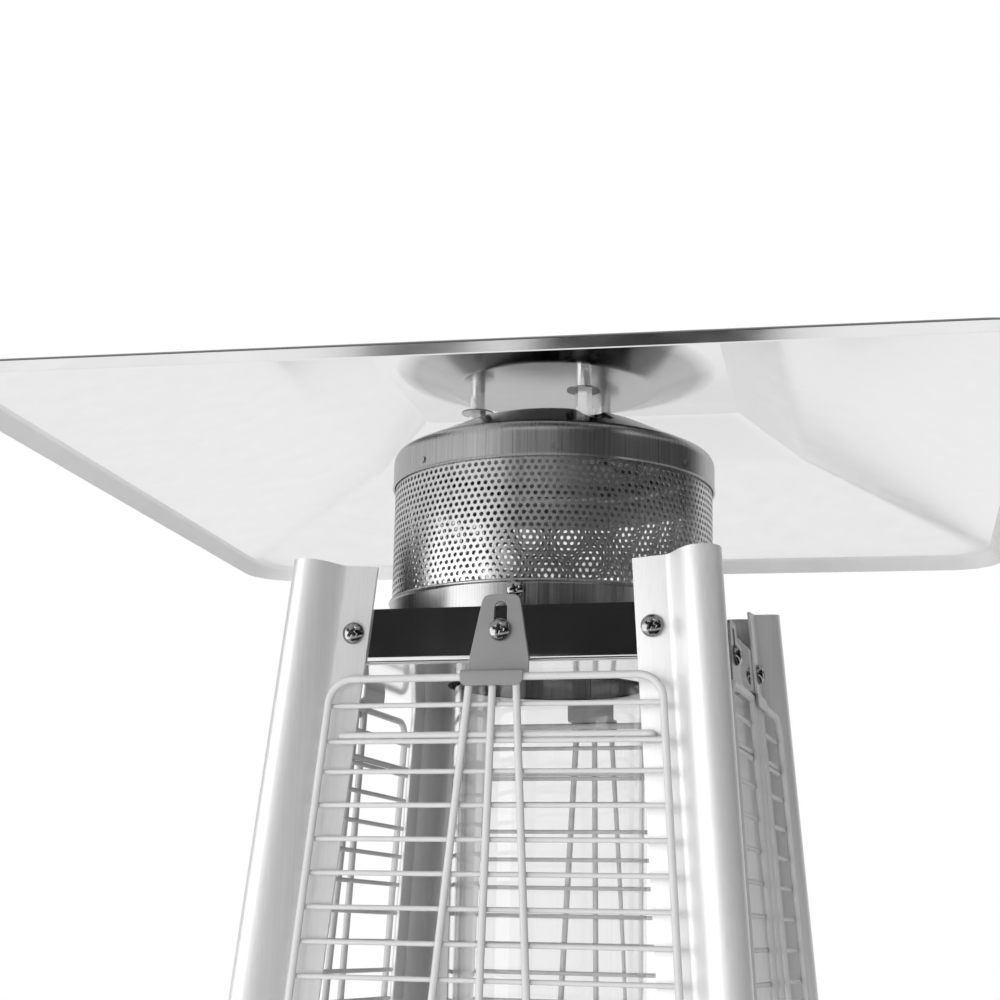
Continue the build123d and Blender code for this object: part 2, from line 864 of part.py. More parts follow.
def pilot_spots():
    step = math.degrees(pilot_apart / pilot_ring)
    angles = [-quarter - step, -quarter, -quarter + step]
    turns = [math.radians(angle) for angle in angles]
    return [(pilot_ring * math.cos(turn), pilot_ring * math.sin(turn)) for turn in turns]


def make_gas_pipes():
    gas, pilot = valve_outlets()
    start = valve_rear() + boss_out
    route = [(gas[0], start, gas[1]), (gas[0], 0, gas[1]), (-jet_radius, 0, gas[1])]
    main = bent_tube(pipe_radius, pipe_bend, route)
    x, y = pilot_spots()[0]
    points = [
        (pilot[0], start, pilot[1]), (pilot[0], y, pilot[1]), (x, y, pilot[1]), (x, y, deck_top - pilot_down)
    ]
    return Compound(children=[main, bent_tube(pilot_pipe, pilot_bend, points)])


def make_pilot():
    spot = Pos(*pilot_spots()[0], 0)
    pilot = upright(pilot_radius, deck_top - pilot_down, deck_top + pilot_up)
    return spot * (pilot + upright(pilot_collar, deck_top, deck_top + pilot_collar_thick))


def make_thermocouple():
    x, y = pilot_spots()[1]
    low = deck_top - probe_drop
    side = -control_apart / 2 + valve_width / 2
    deep = -face_at(control_height) + skirt_deep + valve_deep / 2
    points = [(x, y, deck_top + pilot_up), (x, y, low), (x, deep, low), (side, deep, low)]
    probe = bent_tube(probe_radius, probe_bend, points)
    return probe + Pos(x, y, 0) * upright(pilot_collar, deck_top, deck_top + pilot_collar_thick)


def make_electrode():
    rod_shape = upright(electrode_radius, deck_top - pilot_down, deck_top + pilot_up / 2)
    tip = upright(electrode_tip, deck_top + pilot_up / 2, deck_top + pilot_up / 2 + electrode_tip_up)
    collar = upright(pilot_collar, deck_top, deck_top + pilot_collar_thick)
    return Pos(*pilot_spots()[2], 0) * (rod_shape + tip + collar)


def make_lead():
    x, y = pilot_spots()[2]
    side = control_apart / 2
    low = lead_height()
    points = [(x, y, deck_top - pilot_down), (x, y, low), (side, y, low), (side, igniter_tip(), low)]
    return bent_tube(lead_radius, lead_bend, points)


def make_tilt_switch():
    switch = Box(tilt_width, tilt_deep, tilt_tall, align=(Align.CENTER, Align.CENTER, Align.MAX))
    switch = fillet(switch.edges().filter_by(Axis.Z), tilt_round)
    return Pos(tilt_place, tilt_place / 2, deck_top - deck_sheet) * switch


# Flame tube standing in its rubber seat
def make_gasket():
    floor = deck_top + gasket_floor
    top = deck_top + gasket_height
    inner = tube_bore - seat_gap
    outer = tube_radius + seat_gap
    profile = [
        (inner - gasket_wall, deck_top), (outer + gasket_wall, deck_top), (outer + gasket_wall, top),
        (outer, top), (outer, floor), (inner, floor), (inner, top), (inner - gasket_wall, top)
    ]
    return turned_profile(profile)


def make_tube():
    return ring(tube_radius, tube_bore, tube_low, tube_top)


# Upper pan
def make_pan():
    low = pan_edge_height - pan_skirt
    pan = stump(low, pan_edge_height, post_wall)
    pan = pan - stump(low + sheet, pan_edge_height + cut_over, post_wall + sheet)
    pan = pan - upright(tube_radius + pan_hole_gap, low - cut_over, low + cut_over)
    height = pan_edge_height - screw_drop
    for across in (-flange_middle(height), 0, flange_middle(height)):
        for hole in frame_holes(height, across, shank_radius + hole_gap):
            pan = pan - hole
    return pan


def make_frame_screws():
    screw = make_screw(1, shank_length)
    spots = []
    for height in (pan_edge_height - screw_drop, deck_top - deck_screw_drop):
        for side in (-1, 1):
            spots.append(at_face(height, side * flange_middle(height), 0, screw))
    spots.append(at_face(pan_edge_height - screw_drop, 0, clip_sheet - flange_deep, screw))
    return Compound(children=[on_face(turn, spot) for turn in range(4) for spot in spots])


# Burner screen, its collar and its cap
def make_screen():
    holes = collar_screw_holes()
    low = pan_edge_height + screen_low
    high = pan_edge_height + cap_shoulder - cap_round
    return ring(screen_radius, screen_radius - screen_wall, low, high).cut(*holes)


def collar_screw_holes():
    cut = Pos(0, -screen_radius, pan_edge_height + collar_screw_height) * Rot(quarter, 0, 0)
    bore = upright(shank_radius * collar_share, -head_radius, head_radius)
    hole = Rot(0, 0, collar_screw_turn) * cut * bore
    return [on_face(turn, hole) for turn in range(4)]


def make_collar():
    low = pan_edge_height - pan_skirt + sheet
    high = pan_edge_height + collar_top
    inner = screen_radius + seat_gap
    outer = inner + collar_wall
    lip = collar_wall + collar_lip / 2
    lip_out = outer + collar_lip / 2
    profile = [
        (inner, low), (outer + collar_foot, low), (outer + collar_foot, low + sheet), (outer, low + sheet),
        (outer, high - lip), (lip_out, high - collar_lip), (lip_out, high - collar_lip / 2),
        (outer, high), (inner, high)
    ]
    return turned_profile(profile).cut(*collar_screw_holes())


def make_collar_screws():
    screw = make_screw(collar_share, head_radius)
    out = screen_radius + seat_gap + collar_wall
    place = Pos(0, -out, pan_edge_height + collar_screw_height) * Rot(quarter, 0, 0)
    place = Rot(0, 0, collar_screw_turn) * place
    return Compound(children=[on_face(turn, place * screw) for turn in range(4)])


def standoff_spots():
    step = full_turn / standoff_count
    angles = [math.radians(standoff_turn + step * turn) for turn in range(standoff_count)]
    return [(standoff_ring * math.cos(angle), standoff_ring * math.sin(angle)) for angle in angles]


# The cap as a filled form, grown or shrunk by the sheet
def cap_form(inset):
    radius = screen_radius + seat_gap + sheet - inset
    low = pan_edge_height + cap_low - (cut_over if inset else 0)
    shoulder = pan_edge_height + cap_shoulder - inset
    top = pan_edge_height + cap_top - inset
    turn = cap_round - inset
    bend = turn / math.sqrt(2)
    middle = (radius - turn, shoulder - turn)
    lines = [
        Line((0, low), (radius, low)),
        Line((radius, low), (radius, middle[1])),
        ThreePointArc((radius, middle[1]), (middle[0] + bend, middle[1] + bend), (middle[0], shoulder)),
        Line((middle[0], shoulder), (cap_disc, top)),
        Line((cap_disc, top), (0, top)),
        Line((0, top), (0, low)),
    ]
    return revolve(Plane.XZ * make_face(lines), Axis.Z)


def make_cap():
    outer = cap_form(0)
    inner = cap_form(sheet)
    high = pan_edge_height + cap_top + cut_over
    floor = pan_edge_height + pocket_floor
    for spot in standoff_spots():
        outer = outer - Pos(*spot, 0) * upright(pocket_radius, floor, high)
        inner = inner - Pos(*spot, 0) * upright(pocket_radius + sheet, floor - sheet, high)
    cap = outer - inner
    low = pan_edge_height + cap_low
    radius = screen_radius + seat_gap + sheet
    cap = cap + ring(radius + cap_curl / 2, radius - sheet / 2, low, low + cap_curl)
    for spot in standoff_spots():
        cap = cap - Pos(*spot, 0) * upright(stud_radius, floor - cut_over, high)
    return cap


def make_rivets():
    radius = screen_radius + seat_gap + sheet
    rivet = Rot(0, quarter, 0) * upright(rivet_radius, 0, rivet_thick)
    rivets = []
    for turn in range(rivet_count):
        spot = Rot(0, 0, rivet_turn + full_turn / rivet_count * turn) * Pos(
            radius - rivet_thick / 2, 0, pan_edge_height + rivet_height
        )
        rivets.append(spot * rivet - upright(radius, 0, pan_edge_height * 2))
    return Compound(children=rivets)


# Stand-offs: stud, hexagon spacer with a nut, washer, round spacer and wing nut
def stack(shape):
    return Compound(children=[Pos(*spot, pan_edge_height) * shape for spot in standoff_spots()])


def make_standoffs():
    post = extrude(RegularPolygon(hex_radius, 6), washer_height - pocket_floor)
    post = post + extrude(RegularPolygon(nut_radius, 6), nut_tall)
    bore = upright(stud_radius, pocket_floor - cut_over, washer_height + cut_over)
    return stack(Pos(0, 0, pocket_floor) * post - bore)


def make_washers():
    return stack(ring(washer_radius, stud_radius, washer_height, washer_height + washer_thick))


def make_spacers():
    low = washer_height + washer_thick
    return stack(ring(spacer_radius, stud_radius, low, dish_height - reflector_sheet))


def make_studs():
    return stack(upright(stud_radius, pocket_floor - stud_down, dish_height + stud_up))


def make_wing_nuts():
    hub = Cone(wing_base, wing_hub, wing_hub_tall, align=(Align.CENTER, Align.CENTER, Align.MIN))
    outline = Polyline(
        (wing_hub / 2, 0), (wing_hub, 0), (wing_span, wing_step), (wing_span, wing_tall),
        (wing_inner, wing_tall), (wing_hub / 2, wing_hub_tall), close=True
    )
    wing = extrude(Plane.XZ * make_face(outline), wing_thick / 2, both=True)
    nut = hub + wing + Rot(0, 0, 2 * quarter) * wing
    return stack(Pos(0, 0, dish_height) * (nut - upright(stud_radius, -cut_over, wing_tall + cut_over)))


# Reflector: a square sheet with a rolled lip, a sloping skirt, a raised centre and a dish pressed into it
def reflector_form():
    lip_top = reflector_low + lip_rise
    stages = [
        (reflector_low, reflector_half, reflector_corner),
        (lip_top, reflector_half - lip_in, reflector_corner - lip_in),
        (crease_height, crease_half, crease_corner),
        (plateau_height, plateau_half, crease_corner),
    ]
    form = None
    for (low, wide, corner), (high, narrow, round_off) in zip(stages, stages[1:]):
        bottom = Pos(0, 0, low) * RectangleRounded(2 * wide, 2 * wide, corner)
        top = Pos(0, 0, high) * RectangleRounded(2 * narrow, 2 * narrow, round_off)
        step = loft([bottom, top], ruled=True)
        form = step if form is None else form + step
    dish = Pos(0, 0, dish_height) * Cone(
        dish_flat, dish_rim, plateau_height - dish_height, align=(Align.CENTER, Align.CENTER, Align.MIN)
    )
    return form - dish


def make_reflector():
    form = Pos(0, 0, pan_edge_height) * reflector_form()
    reflector = form - Pos(0, 0, -reflector_sheet) * form
    for spot in standoff_spots():
        reflector = reflector - Pos(*spot, pan_edge_height) * upright(
            stud_radius, dish_height - cut_over, dish_height + cut_over
        )
    return reflector


# Wire guard on the front face: a bent frame, straight wires across and up, and two spacer bars to the posts
def guard_span():
    return (guard_top - guard_bottom) * slope_length


def guard_side(rise):
    return guard_half_top - frame_wire + guard_share * (guard_span() - rise)


# A wire with flat sides, one of them against the frame
def cross_bar(half, rise):
    section = Plane(origin=(-half, rise, weld_plane - cross_wire), x_dir=(0, 1, 0), z_dir=(1, 0, 0))
    flat_turn = full_turn / wire_sides / 2
    outline = RegularPolygon(cross_wire, wire_sides, major_radius=False, rotation=flat_turn)
    return extrude(section * outline, 2 * half)


def spacer_bar(half, rise):
    out = weld_plane - spacer_wire
    return bent_tube(spacer_wire, spacer_bend, [
        (-half, rise, foot_gap), (-half, rise, out), (half, rise, out), (half, rise, foot_gap)
    ])


def make_guard():
    tall = guard_span()
    low_half, high_half = guard_side(0), guard_side(tall)
    route = FilletPolyline(
        (-low_half, 0), (low_half, 0), (high_half, tall), (-high_half, tall), radius=guard_corner, close=True
    )
    start = Plane(origin=route @ 0, z_dir=route % 0)
    frame = Pos(0, 0, guard_out) * sweep(start * Circle(frame_wire), path=route)
    count = int((tall - guard_first - guard_corner) / guard_pitch) + 1
    wires = []
    for row in range(count):
        rise = tall - guard_first - row * guard_pitch
        paired = row in (1, count - 2)
        if paired:
            spacer_half = spacer_half_top + lean_share * (tall - rise)
            wires.append(spacer_bar(spacer_half, rise + pair_apart / 2))
            rise = rise - pair_apart / 2
        wires.append(cross_bar(guard_side(rise) + frame_wire / 2, rise))
    for side in (-1, 0, 1):
        top = (side * fan_top, tall, guard_out)
        low = (side * (fan_top + fan_share * tall), 0, guard_out)
        wires.append(rod(frame_wire, low, top))
    return face_plane(guard_bottom) * frame.solid().fuse(*wires)


# Clip that hooks over the guard's top wire
def make_clip():
    shelf = (guard_top + (frame_wire + clip_over) / slope_length - pan_edge_height) * slope_length
    lip_high = shelf + clip_sheet
    lip_low = lip_high - clip_lip
    plate = make_face(Polyline(
        (-clip_low_half, shelf), (clip_low_half, shelf),
        (clip_top_half, clip_rise), (-clip_top_half, clip_rise), close=True
    ))
    plate = fillet(plate.vertices().group_by(Axis.Y)[-1], clip_round)
    plate = extrude(plate, clip_sheet)
    slot_high = -screw_drop + clip_slot_up
    slot_low = -screw_drop - clip_slot_down
    slot = Pos(0, (slot_high + slot_low) / 2, -cut_over) * extrude(
        SlotOverall(slot_high - slot_low, 2 * clip_slot, rotation=quarter), clip_sheet + 2 * cut_over
    )
    step = Pos(0, shelf, 0) * Box(
        2 * clip_low_half, clip_sheet, clip_sheet + clip_out, align=(Align.CENTER, Align.MIN, Align.MIN)
    )
    lip = make_face(Polyline(
        (-clip_lip_half, lip_low), (clip_lip_half, lip_low),
        (clip_lip_half, lip_high), (-clip_lip_half, lip_high), close=True
    ))
    lip = fillet(lip.vertices().group_by(Axis.Y)[0], lip_round)
    lip = Pos(0, 0, clip_out) * extrude(lip, clip_sheet)
    clip = plate + step + lip - slot
    return face_plane(pan_edge_height) * Pos(0, 0, -flange_deep) * clip


def turned(shape):
    turn = Rot(0, 0, head_turn)
    if shape.children:
        return Compound(children=[turn * child for child in shape.children])
    return turn * shape


# Pieces from the collar up sit turned on the frame
turned_names = [
    "burner_screen", "screen_collar", "collar_screws", "screen_cap", "cap_rivets", "standoffs",
    "standoff_washers", "standoff_spacers", "standoff_studs", "wing_nuts", "reflector"
]


def build_parts():
    posts = make_posts()
    guard = make_guard()
    clip = make_clip()
    left = Pos(-wheel_apart / 2, 0, 0)
    right = Pos(wheel_apart / 2, 0, 0)
    parts = {
        "base_tray": make_tray(),
        "feet": make_feet(),
        "wheel_forks": Compound(children=[left * make_fork(), right * make_fork()]),
        "wheel_axles": Compound(children=[left * make_axle(), right * make_axle()]),
        "wheel_left": left * make_wheel(),
        "wheel_right": right * make_wheel(),
        "post_rear_right": posts[0],
        "post_rear_left": posts[1],
        "post_front_left": posts[2],
        "post_front_right": posts[3],
        "post_feet": make_angle_feet(),
        "side_panel_right": make_panel(1),
        "rear_panel": make_panel(2),
        "side_panel_left": make_panel(3),
        "panel_screws": make_panel_screws(),
        "door_panel": make_door(),
        "door_pull": make_door_pull(),
        "hinge_brackets": make_hinge_brackets(),
        "hinge_pins": make_hinge_pins(),
        "door_magnet": make_magnet(),
        "burner_deck": make_deck(),
        "frame_screws": make_frame_screws(),
        "control_plate": make_control_plate(),
        "control_knob": make_knob(),
        "valve_stem": make_stem(),
        "gas_valve": make_valve(),
        "gas_inlet": make_inlet(),
        "igniter_body": make_igniter(),
        "igniter_button": make_button(),
        "gas_pipes": make_gas_pipes(),
        "jet_holder": make_jet(),
        "burner_cup": make_cup(),
        "burner_gauze": make_gauze(),
        "pilot_burner": make_pilot(),
        "thermocouple": make_thermocouple(),
        "spark_electrode": make_electrode(),
        "ignition_lead": make_lead(),
        "tilt_switch": make_tilt_switch(),
        "tube_gasket": make_gasket(),
        "glass_tube": make_tube(),
        "upper_pan": make_pan(),
        "burner_screen": make_screen(),
        "screen_collar": make_collar(),
        "collar_screws": make_collar_screws(),
        "screen_cap": make_cap(),
        "cap_rivets": make_rivets(),
        "standoffs": make_standoffs(),
        "standoff_washers": make_washers(),
        "standoff_spacers": make_spacers(),
        "standoff_studs": make_studs(),
        "wing_nuts": make_wing_nuts(),
        "reflector": make_reflector(),
    }
    for name in turned_names:
        parts[name] = turned(parts[name])
    for turn, side in enumerate(("front", "right", "rear", "left")):
        parts["guard_" + side] = on_face(turn, guard)
        parts["clip_" + side] = on_face(turn, clip)
    return parts


os.makedirs("parts", exist_ok=True)
for name, shape in build_parts().items():
    export_step(shape, "parts/" + name + ".step")
print("parts written")
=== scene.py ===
import bpy, bmesh, json, time
from math import cos, hypot, pi, radians, sin, sqrt, tan
from mathutils import Matrix, Vector

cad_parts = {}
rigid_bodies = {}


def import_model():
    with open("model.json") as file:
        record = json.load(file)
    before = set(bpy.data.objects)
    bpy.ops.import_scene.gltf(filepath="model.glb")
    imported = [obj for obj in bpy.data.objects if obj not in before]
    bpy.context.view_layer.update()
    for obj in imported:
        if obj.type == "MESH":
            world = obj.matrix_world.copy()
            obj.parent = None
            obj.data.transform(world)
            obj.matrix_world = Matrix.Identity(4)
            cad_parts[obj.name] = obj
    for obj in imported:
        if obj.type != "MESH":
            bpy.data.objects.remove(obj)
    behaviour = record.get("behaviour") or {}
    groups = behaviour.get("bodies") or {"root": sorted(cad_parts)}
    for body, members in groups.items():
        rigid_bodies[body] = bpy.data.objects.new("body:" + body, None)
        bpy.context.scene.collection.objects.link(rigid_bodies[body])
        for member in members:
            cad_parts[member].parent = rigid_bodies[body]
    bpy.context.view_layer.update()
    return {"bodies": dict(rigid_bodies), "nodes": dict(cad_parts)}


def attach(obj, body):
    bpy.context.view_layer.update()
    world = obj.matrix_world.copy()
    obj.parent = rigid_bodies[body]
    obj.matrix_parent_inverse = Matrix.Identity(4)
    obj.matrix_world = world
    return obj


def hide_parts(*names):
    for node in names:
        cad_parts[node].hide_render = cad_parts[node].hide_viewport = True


started = time.time()
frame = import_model()
nodes = frame["nodes"]
scene = bpy.context.scene
for thing in list(bpy.data.objects):
    if thing not in nodes.values() and thing not in frame["bodies"].values():
        bpy.data.objects.remove(thing)
print("frame loaded:", len(nodes), "CAD pieces")

mm = 0.001
squareCorners = ((-1, -1), (1, -1), (1, 1), (-1, 1))
panEdge = 2080.0   # heights of the head are counted from the upper pan's edge
faceHalf = 120.0   # middle to a face at that edge
lean = 0.0775      # how far a face leans in for each unit of height
headTurn = radians(4.9)


def onFace(quarters):
    return Matrix.Rotation(radians(90 * quarters), 4, "Z")


# local x right, y up the leaning face, z out of it, from the face's middle at that height
def facePlace(height, quarters=0):
    tall = hypot(1, lean)
    x = Vector((1, 0, 0))
    y = Vector((0, lean / tall, 1 / tall))
    z = Vector((0, -1 / tall, lean / tall))
    spot = Vector((0, -(faceHalf + lean * (panEdge - height)) * mm, height * mm))
    place = Matrix((x, y, z)).transposed().to_4x4()
    return onFace(quarters) @ Matrix.Translation(spot) @ place


# materials

def linear(hexColour):
    value = [int(hexColour[i:i + 2], 16) / 255 for i in (1, 3, 5)]
    return [v / 12.92 if v <= 0.04045 else ((v + 0.055) / 1.055) ** 2.4 for v in value] + [1]


def outlet(source):
    return source.outputs[0] if isinstance(source, bpy.types.Node) else source


# feeds: a socket or a node's first output is linked, a value is set; settings: the node's own, or values by name
def addNode(tree, kind, feeds=None, **settings):
    node = tree.nodes.new(kind)
    for key, value in settings.items():
        if key[0].islower() and hasattr(node, key):
            setattr(node, key, value)
        else:
            node.inputs[key.replace("_", " ")].default_value = value
    for socket, value in (feeds or {}).items():
        if isinstance(value, (bpy.types.Node, bpy.types.NodeSocket)):
            tree.links.new(outlet(value), node.inputs[socket])
        else:
            node.inputs[socket].default_value = value
    return node


# this and the ramp and mix helpers below work in the tree of the socket or node that they are given
def calc(operation, *values):
    return addNode(values[0].id_data, "ShaderNodeMath", dict(enumerate(values)), operation=operation).outputs[0]


def newMaterial(name, **shader):
    material = bpy.data.materials.new(name)
    material.use_nodes = True
    tree = material.node_tree
    tree.nodes.clear()
    bsdf = addNode(tree, "ShaderNodeBsdfPrincipled", **shader)
    addNode(tree, "ShaderNodeOutputMaterial", {"Surface": bsdf})
    return material, tree, bsdf


# pattern stretched along one direction: stretch is the Mapping scale per axis, in cycles for each metre
def streaks(tree, stretch, detail=3):
    where = addNode(tree, "ShaderNodeTexCoord")
    place = addNode(tree, "ShaderNodeMapping", {"Vector": where.outputs["Object"], "Scale": stretch})
    return addNode(tree, "ShaderNodeTexNoise", {"Vector": place},
                   Scale=1.0, Detail=detail, Roughness=0.55).outputs["Fac"]


def ramp(source, low, high, lowAt=0.3, highAt=0.7):
    return addNode(source.id_data, "ShaderNodeMapRange", {"Value": source}, From_Min=lowAt, From_Max=highAt,
                   To_Min=low, To_Max=high).outputs["Result"]


# colour mix: sockets 6 and 7 are its two colours and output 2 its result
def tint(share, first, second):
    return addNode(share.id_data, "ShaderNodeMix", {0: share, 6: first, 7: second}, data_type="RGBA").outputs[2]


def shades(source, first, second):
    return tint(ramp(source, 0, 1), linear(first), linear(second))


def relief(tree, bsdf, source, depth, strength):
    bump = addNode(tree, "ShaderNodeBump", {"Height": source}, Strength=strength, Distance=depth * 0.001 * mm)
    tree.links.new(bump.outputs["Normal"], bsdf.inputs["Normal"])


# metal with a drawn or brushed grain: two colours, a roughness band and a relief in thousandths of a millimetre
def grainedMetal(name, first, second, rough, stretch, depth=20, strength=0.25, metallic=1.0, cloud=0.0):
    material, tree, bsdf = newMaterial(name, Metallic=metallic)
    grain = streaks(tree, stretch)
    tree.links.new(shades(grain, first, second), bsdf.inputs["Base Color"])
    roughness = ramp(grain, *rough)
    if cloud:
        smear = streaks(tree, (9, 9, 9), detail=2)
        roughness = calc("ADD", roughness, ramp(smear, 0, cloud))
    tree.links.new(roughness, bsdf.inputs["Roughness"])
    relief(tree, bsdf, grain, depth, strength)
    return material


# coated, moulded or cast surface: even colour with a fine stipple
def stippled(name, first, second, rough, grit, depth=30, strength=0.3, **shader):
    material, tree, bsdf = newMaterial(name, **shader)
    stipple = streaks(tree, (grit, grit, grit), detail=2)
    cloud = streaks(tree, (14, 14, 14), detail=2)
    tree.links.new(shades(cloud, first, second), bsdf.inputs["Base Color"])
    tree.links.new(ramp(stipple, *rough), bsdf.inputs["Roughness"])
    relief(tree, bsdf, stipple, depth, strength)
    return material


# fades a metal into a paler one between two distances from the upright axis
def brightenOutwards(material, near, far, shade):
    tree = material.node_tree
    colour = next(node for node in tree.nodes if node.type == "BSDF_PRINCIPLED").inputs["Base Color"]
    spot = addNode(tree, "ShaderNodeTexCoord").outputs["Object"]
    flat = addNode(tree, "ShaderNodeVectorMath", {0: spot, 1: (1, 1, 0)}, operation="MULTIPLY")
    reach = addNode(tree, "ShaderNodeVectorMath", {0: flat}, operation="LENGTH")
    fade = ramp(reach.outputs["Value"], 0, 1, near, far)
    tree.links.new(tint(fade, colour.links[0].from_socket, linear(shade)), colour)


# extruded aluminium, satin anodised: die lines along the post, reflections soft across it
postAluminium = grainedMetal("postAluminium", "#E2E2E2", "#E8E8E8", (0.43, 0.47), (900, 900, 2), depth=3,
                             metallic=0.55)
# stainless steel with a mirror finish, polishing haze in soft clouds
mirrorSteel = grainedMetal("mirrorSteel", "#A4A4A4", "#ACACAC", (0.08, 0.10), (40, 40, 40), depth=1, cloud=0.05)
# the pan, polished and a little hazy from handling; its colour is painted brighter than the cap's mirror steel, a
# painted highlight on its bends
panPolish = grainedMetal("panPolish", "#EAEAEA", "#F2F2F2", (0.05, 0.07), (60, 60, 12), depth=1, cloud=0.05)
# stainless steel brushed up and down, so its highlights spread sideways
brushedSteel = grainedMetal("brushedSteel", "#A8A8A8", "#C4C4C4", (0.26, 0.38), (900, 900, 6), depth=12)
# the same sheet punched with holes, a little duller
punchedSteel = grainedMetal("punchedSteel", "#CECECE", "#DADADA", (0.26, 0.32), (300, 300, 8), depth=8)
# bright rolled sheet of the reflector's underside, softly polished
reflectorPolish = grainedMetal("reflectorPolish", "#E8E8E8", "#ECECEC", (0.20, 0.24), (60, 60, 60), depth=1)
# the pressed dish, polished by the press tool; its colour is darkened as painted reflection, and paler towards the
# plateau
dishPolish = grainedMetal("dishPolish", "#A6A6A6", "#AEAEAE", (0.16, 0.20), (60, 60, 60), depth=1, cloud=0.05)
brightenOutwards(dishPolish, 0.094, 0.108, "#EAEAEA")
# upper side of the reflector, painted near white as a lit copy of the same sheet, so that it shows blown out
reflectorTop = grainedMetal("reflectorTop", "#FDFDFD", "#FFFFFF", (0.10, 0.14), (30, 500, 30), depth=1,
                            metallic=0.6)
# the rolled lip, polished by the roller
lipPolish = grainedMetal("lipPolish", "#E2E2E2", "#EAEAEA", (0.12, 0.20), (30, 30, 30), depth=1)
# the inner side of the lip, left satin by the roller
lipInside = grainedMetal("lipInside", "#E6E6E6", "#EEEEEE", (0.45, 0.55), (30, 30, 30), depth=1, metallic=0.2)
# the tight bend above the lip, painted dark as painted shade along the bend
lipBend = grainedMetal("lipBend", "#4A4A4A", "#5C5C5C", (0.25, 0.35), (30, 30, 30), depth=1)
# zinc plated and passivated sheet, dull grey
zincSheet = stippled("zincSheet", "#A0A0A0", "#A9A9A9", (0.38, 0.46), 900, depth=10, Metallic=0.7)
# polyester powder coat, light grey and matt
wireCoat = stippled("wireCoat", "#BCBCBC", "#C4C4C4", (0.42, 0.52), 1500, depth=20)
# turned aluminium of the stand-offs, pale satin
turnedAluminium = grainedMetal("turnedAluminium", "#FAFAFA", "#FFFFFF", (0.20, 0.26), (600, 600, 30), metallic=0.9)
# nickel plated screws
nickel = grainedMetal("nickel", "#8E8E8E", "#9E9E9E", (0.12, 0.20), (300, 300, 300), depth=3)
# brushed cabinet sheet, grain upwards
cabinetSteel = grainedMetal("cabinetSteel", "#B9B9B9", "#D0D0D0", (0.26, 0.4), (650, 650, 4), depth=30, cloud=0.04)
# hammered grey enamel on the tray
trayEnamel = stippled("trayEnamel", "#8B8D8E", "#989A9B", (0.3, 0.42), 260, depth=200, strength=0.5)
# moulded black polyamide
blackNylon = stippled("blackNylon", "#161616", "#1C1C1C", (0.4, 0.52), 1800)
# black rubber, dusty
blackRubber = stippled("blackRubber", "#1A1A1A", "#232323", (0.62, 0.78), 1200, depth=50)
# turned brass
turnedBrass = grainedMetal("turnedBrass", "#B08D4C", "#CDAA66", (0.2, 0.32), (300, 300, 300))
# glazed porcelain of the electrode
porcelain = stippled("porcelain", "#E6E1D6", "#EFEBE2", (0.1, 0.18), 400, Coat_Weight=0.6)
# silicone sleeved lead
siliconeLead = stippled("siliconeLead", "#2E2E2E", "#383838", (0.45, 0.6), 1500)
# ferrite block of the catch
ferrite = stippled("ferrite", "#2B2724", "#35302C", (0.55, 0.7), 1100)

# clear borosilicate tube
tubeGlass = newMaterial("tubeGlass", Base_Color=linear("#F8F8F8"), Roughness=0.0, IOR=1.47,
                        Transmission_Weight=1.0)[0]
print("materials made")


# mesh helpers

def newMesh(name, verts, faces=(), material=None):
    mesh = bpy.data.meshes.new(name)
    mesh.from_pydata([tuple(v) for v in verts], [], faces)
    if material:
        mesh.materials.append(material)
    return mesh


def addObject(name, data):
    thing = bpy.data.objects.new(name, data)
    scene.collection.objects.link(thing)
    return thing


def makeObject(name, verts, faces, materials, sharp=35, place=None, outward=True, faceSlots=None):
    mesh = newMesh(name, verts, faces)
    if faceSlots:
        mesh.polygons.foreach_set("material_index", faceSlots)
    if place is not None:
        mesh.transform(place)
    return finishMesh(name, mesh, materials, sharp, outward)


def finishMesh(name, mesh, materials, sharp=35, outward=True):
    work = bmesh.new()
    work.from_mesh(mesh)
    bmesh.ops.remove_doubles(work, verts=work.verts, dist=0.00001)
    if outward:
        bmesh.ops.recalc_face_normals(work, faces=work.faces)
    limit = radians(sharp)
    for edge in work.edges:
        edge.smooth = len(edge.link_faces) == 2 and edge.calc_face_angle(pi) < limit
    for face in work.faces:
        face.smooth = True
    work.to_mesh(mesh)
    work.free()
    for material in materials:
        mesh.materials.append(material)
    return addObject(name, mesh)


def applied(thing):
    graph = bpy.context.evaluated_depsgraph_get()
    graph.update()
    mesh = bpy.data.meshes.new_from_object(thing.evaluated_get(graph), preserve_all_data_layers=True,
                                           depsgraph=graph)
    thing.modifiers.clear()
    thing.data = mesh
    return thing


# gives an open shell its thickness, inwards from the face that is drawn; first turns the shell so that the
# given face looks along aim
def sheetWall(thing, thickness, face=None, aim=None):
    if face is not None and thing.data.polygons[face].normal.dot(aim) < 0:
        thing.data.flip_normals()
    wall = thing.modifiers.new("sheet", "SOLIDIFY")
    wall.thickness = thickness * mm
    wall.offset = -1
    return wall


# runs a node tree on an object, its inputs set by identifier, and keeps the plain mesh
def runTree(thing, tree, sizes):
    modifier = thing.modifiers.new(tree.name, "NODES")
    modifier.node_group = tree
    for item in tree.interface.items_tree:
        if item.item_type == "SOCKET" and item.in_out == "INPUT" and item.name in sizes:
            modifier[item.identifier] = sizes[item.name]
    return applied(thing)


def settle(thing, slotName, *cadNodes, body="frame"):
    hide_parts(*cadNodes)
    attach(thing, body)


# loops of points joined by quads; closed rings, open or capped at the ends
def loft(loops, ring=True, capFirst=False, capLast=False):
    verts, faces = [p for loop in loops for p in loop], []
    count = len(loops[0])
    for row in range(len(loops) - 1):
        for i in range(count if ring else count - 1):
            j = (i + 1) % count
            a, b = row * count, (row + 1) * count
            faces.append((a + i, a + j, b + j, b + i))
    if capFirst:
        faces.append(tuple(reversed(range(count))))
    if capLast:
        faces.append(tuple(range((len(loops) - 1) * count, len(loops) * count)))
    return verts, faces


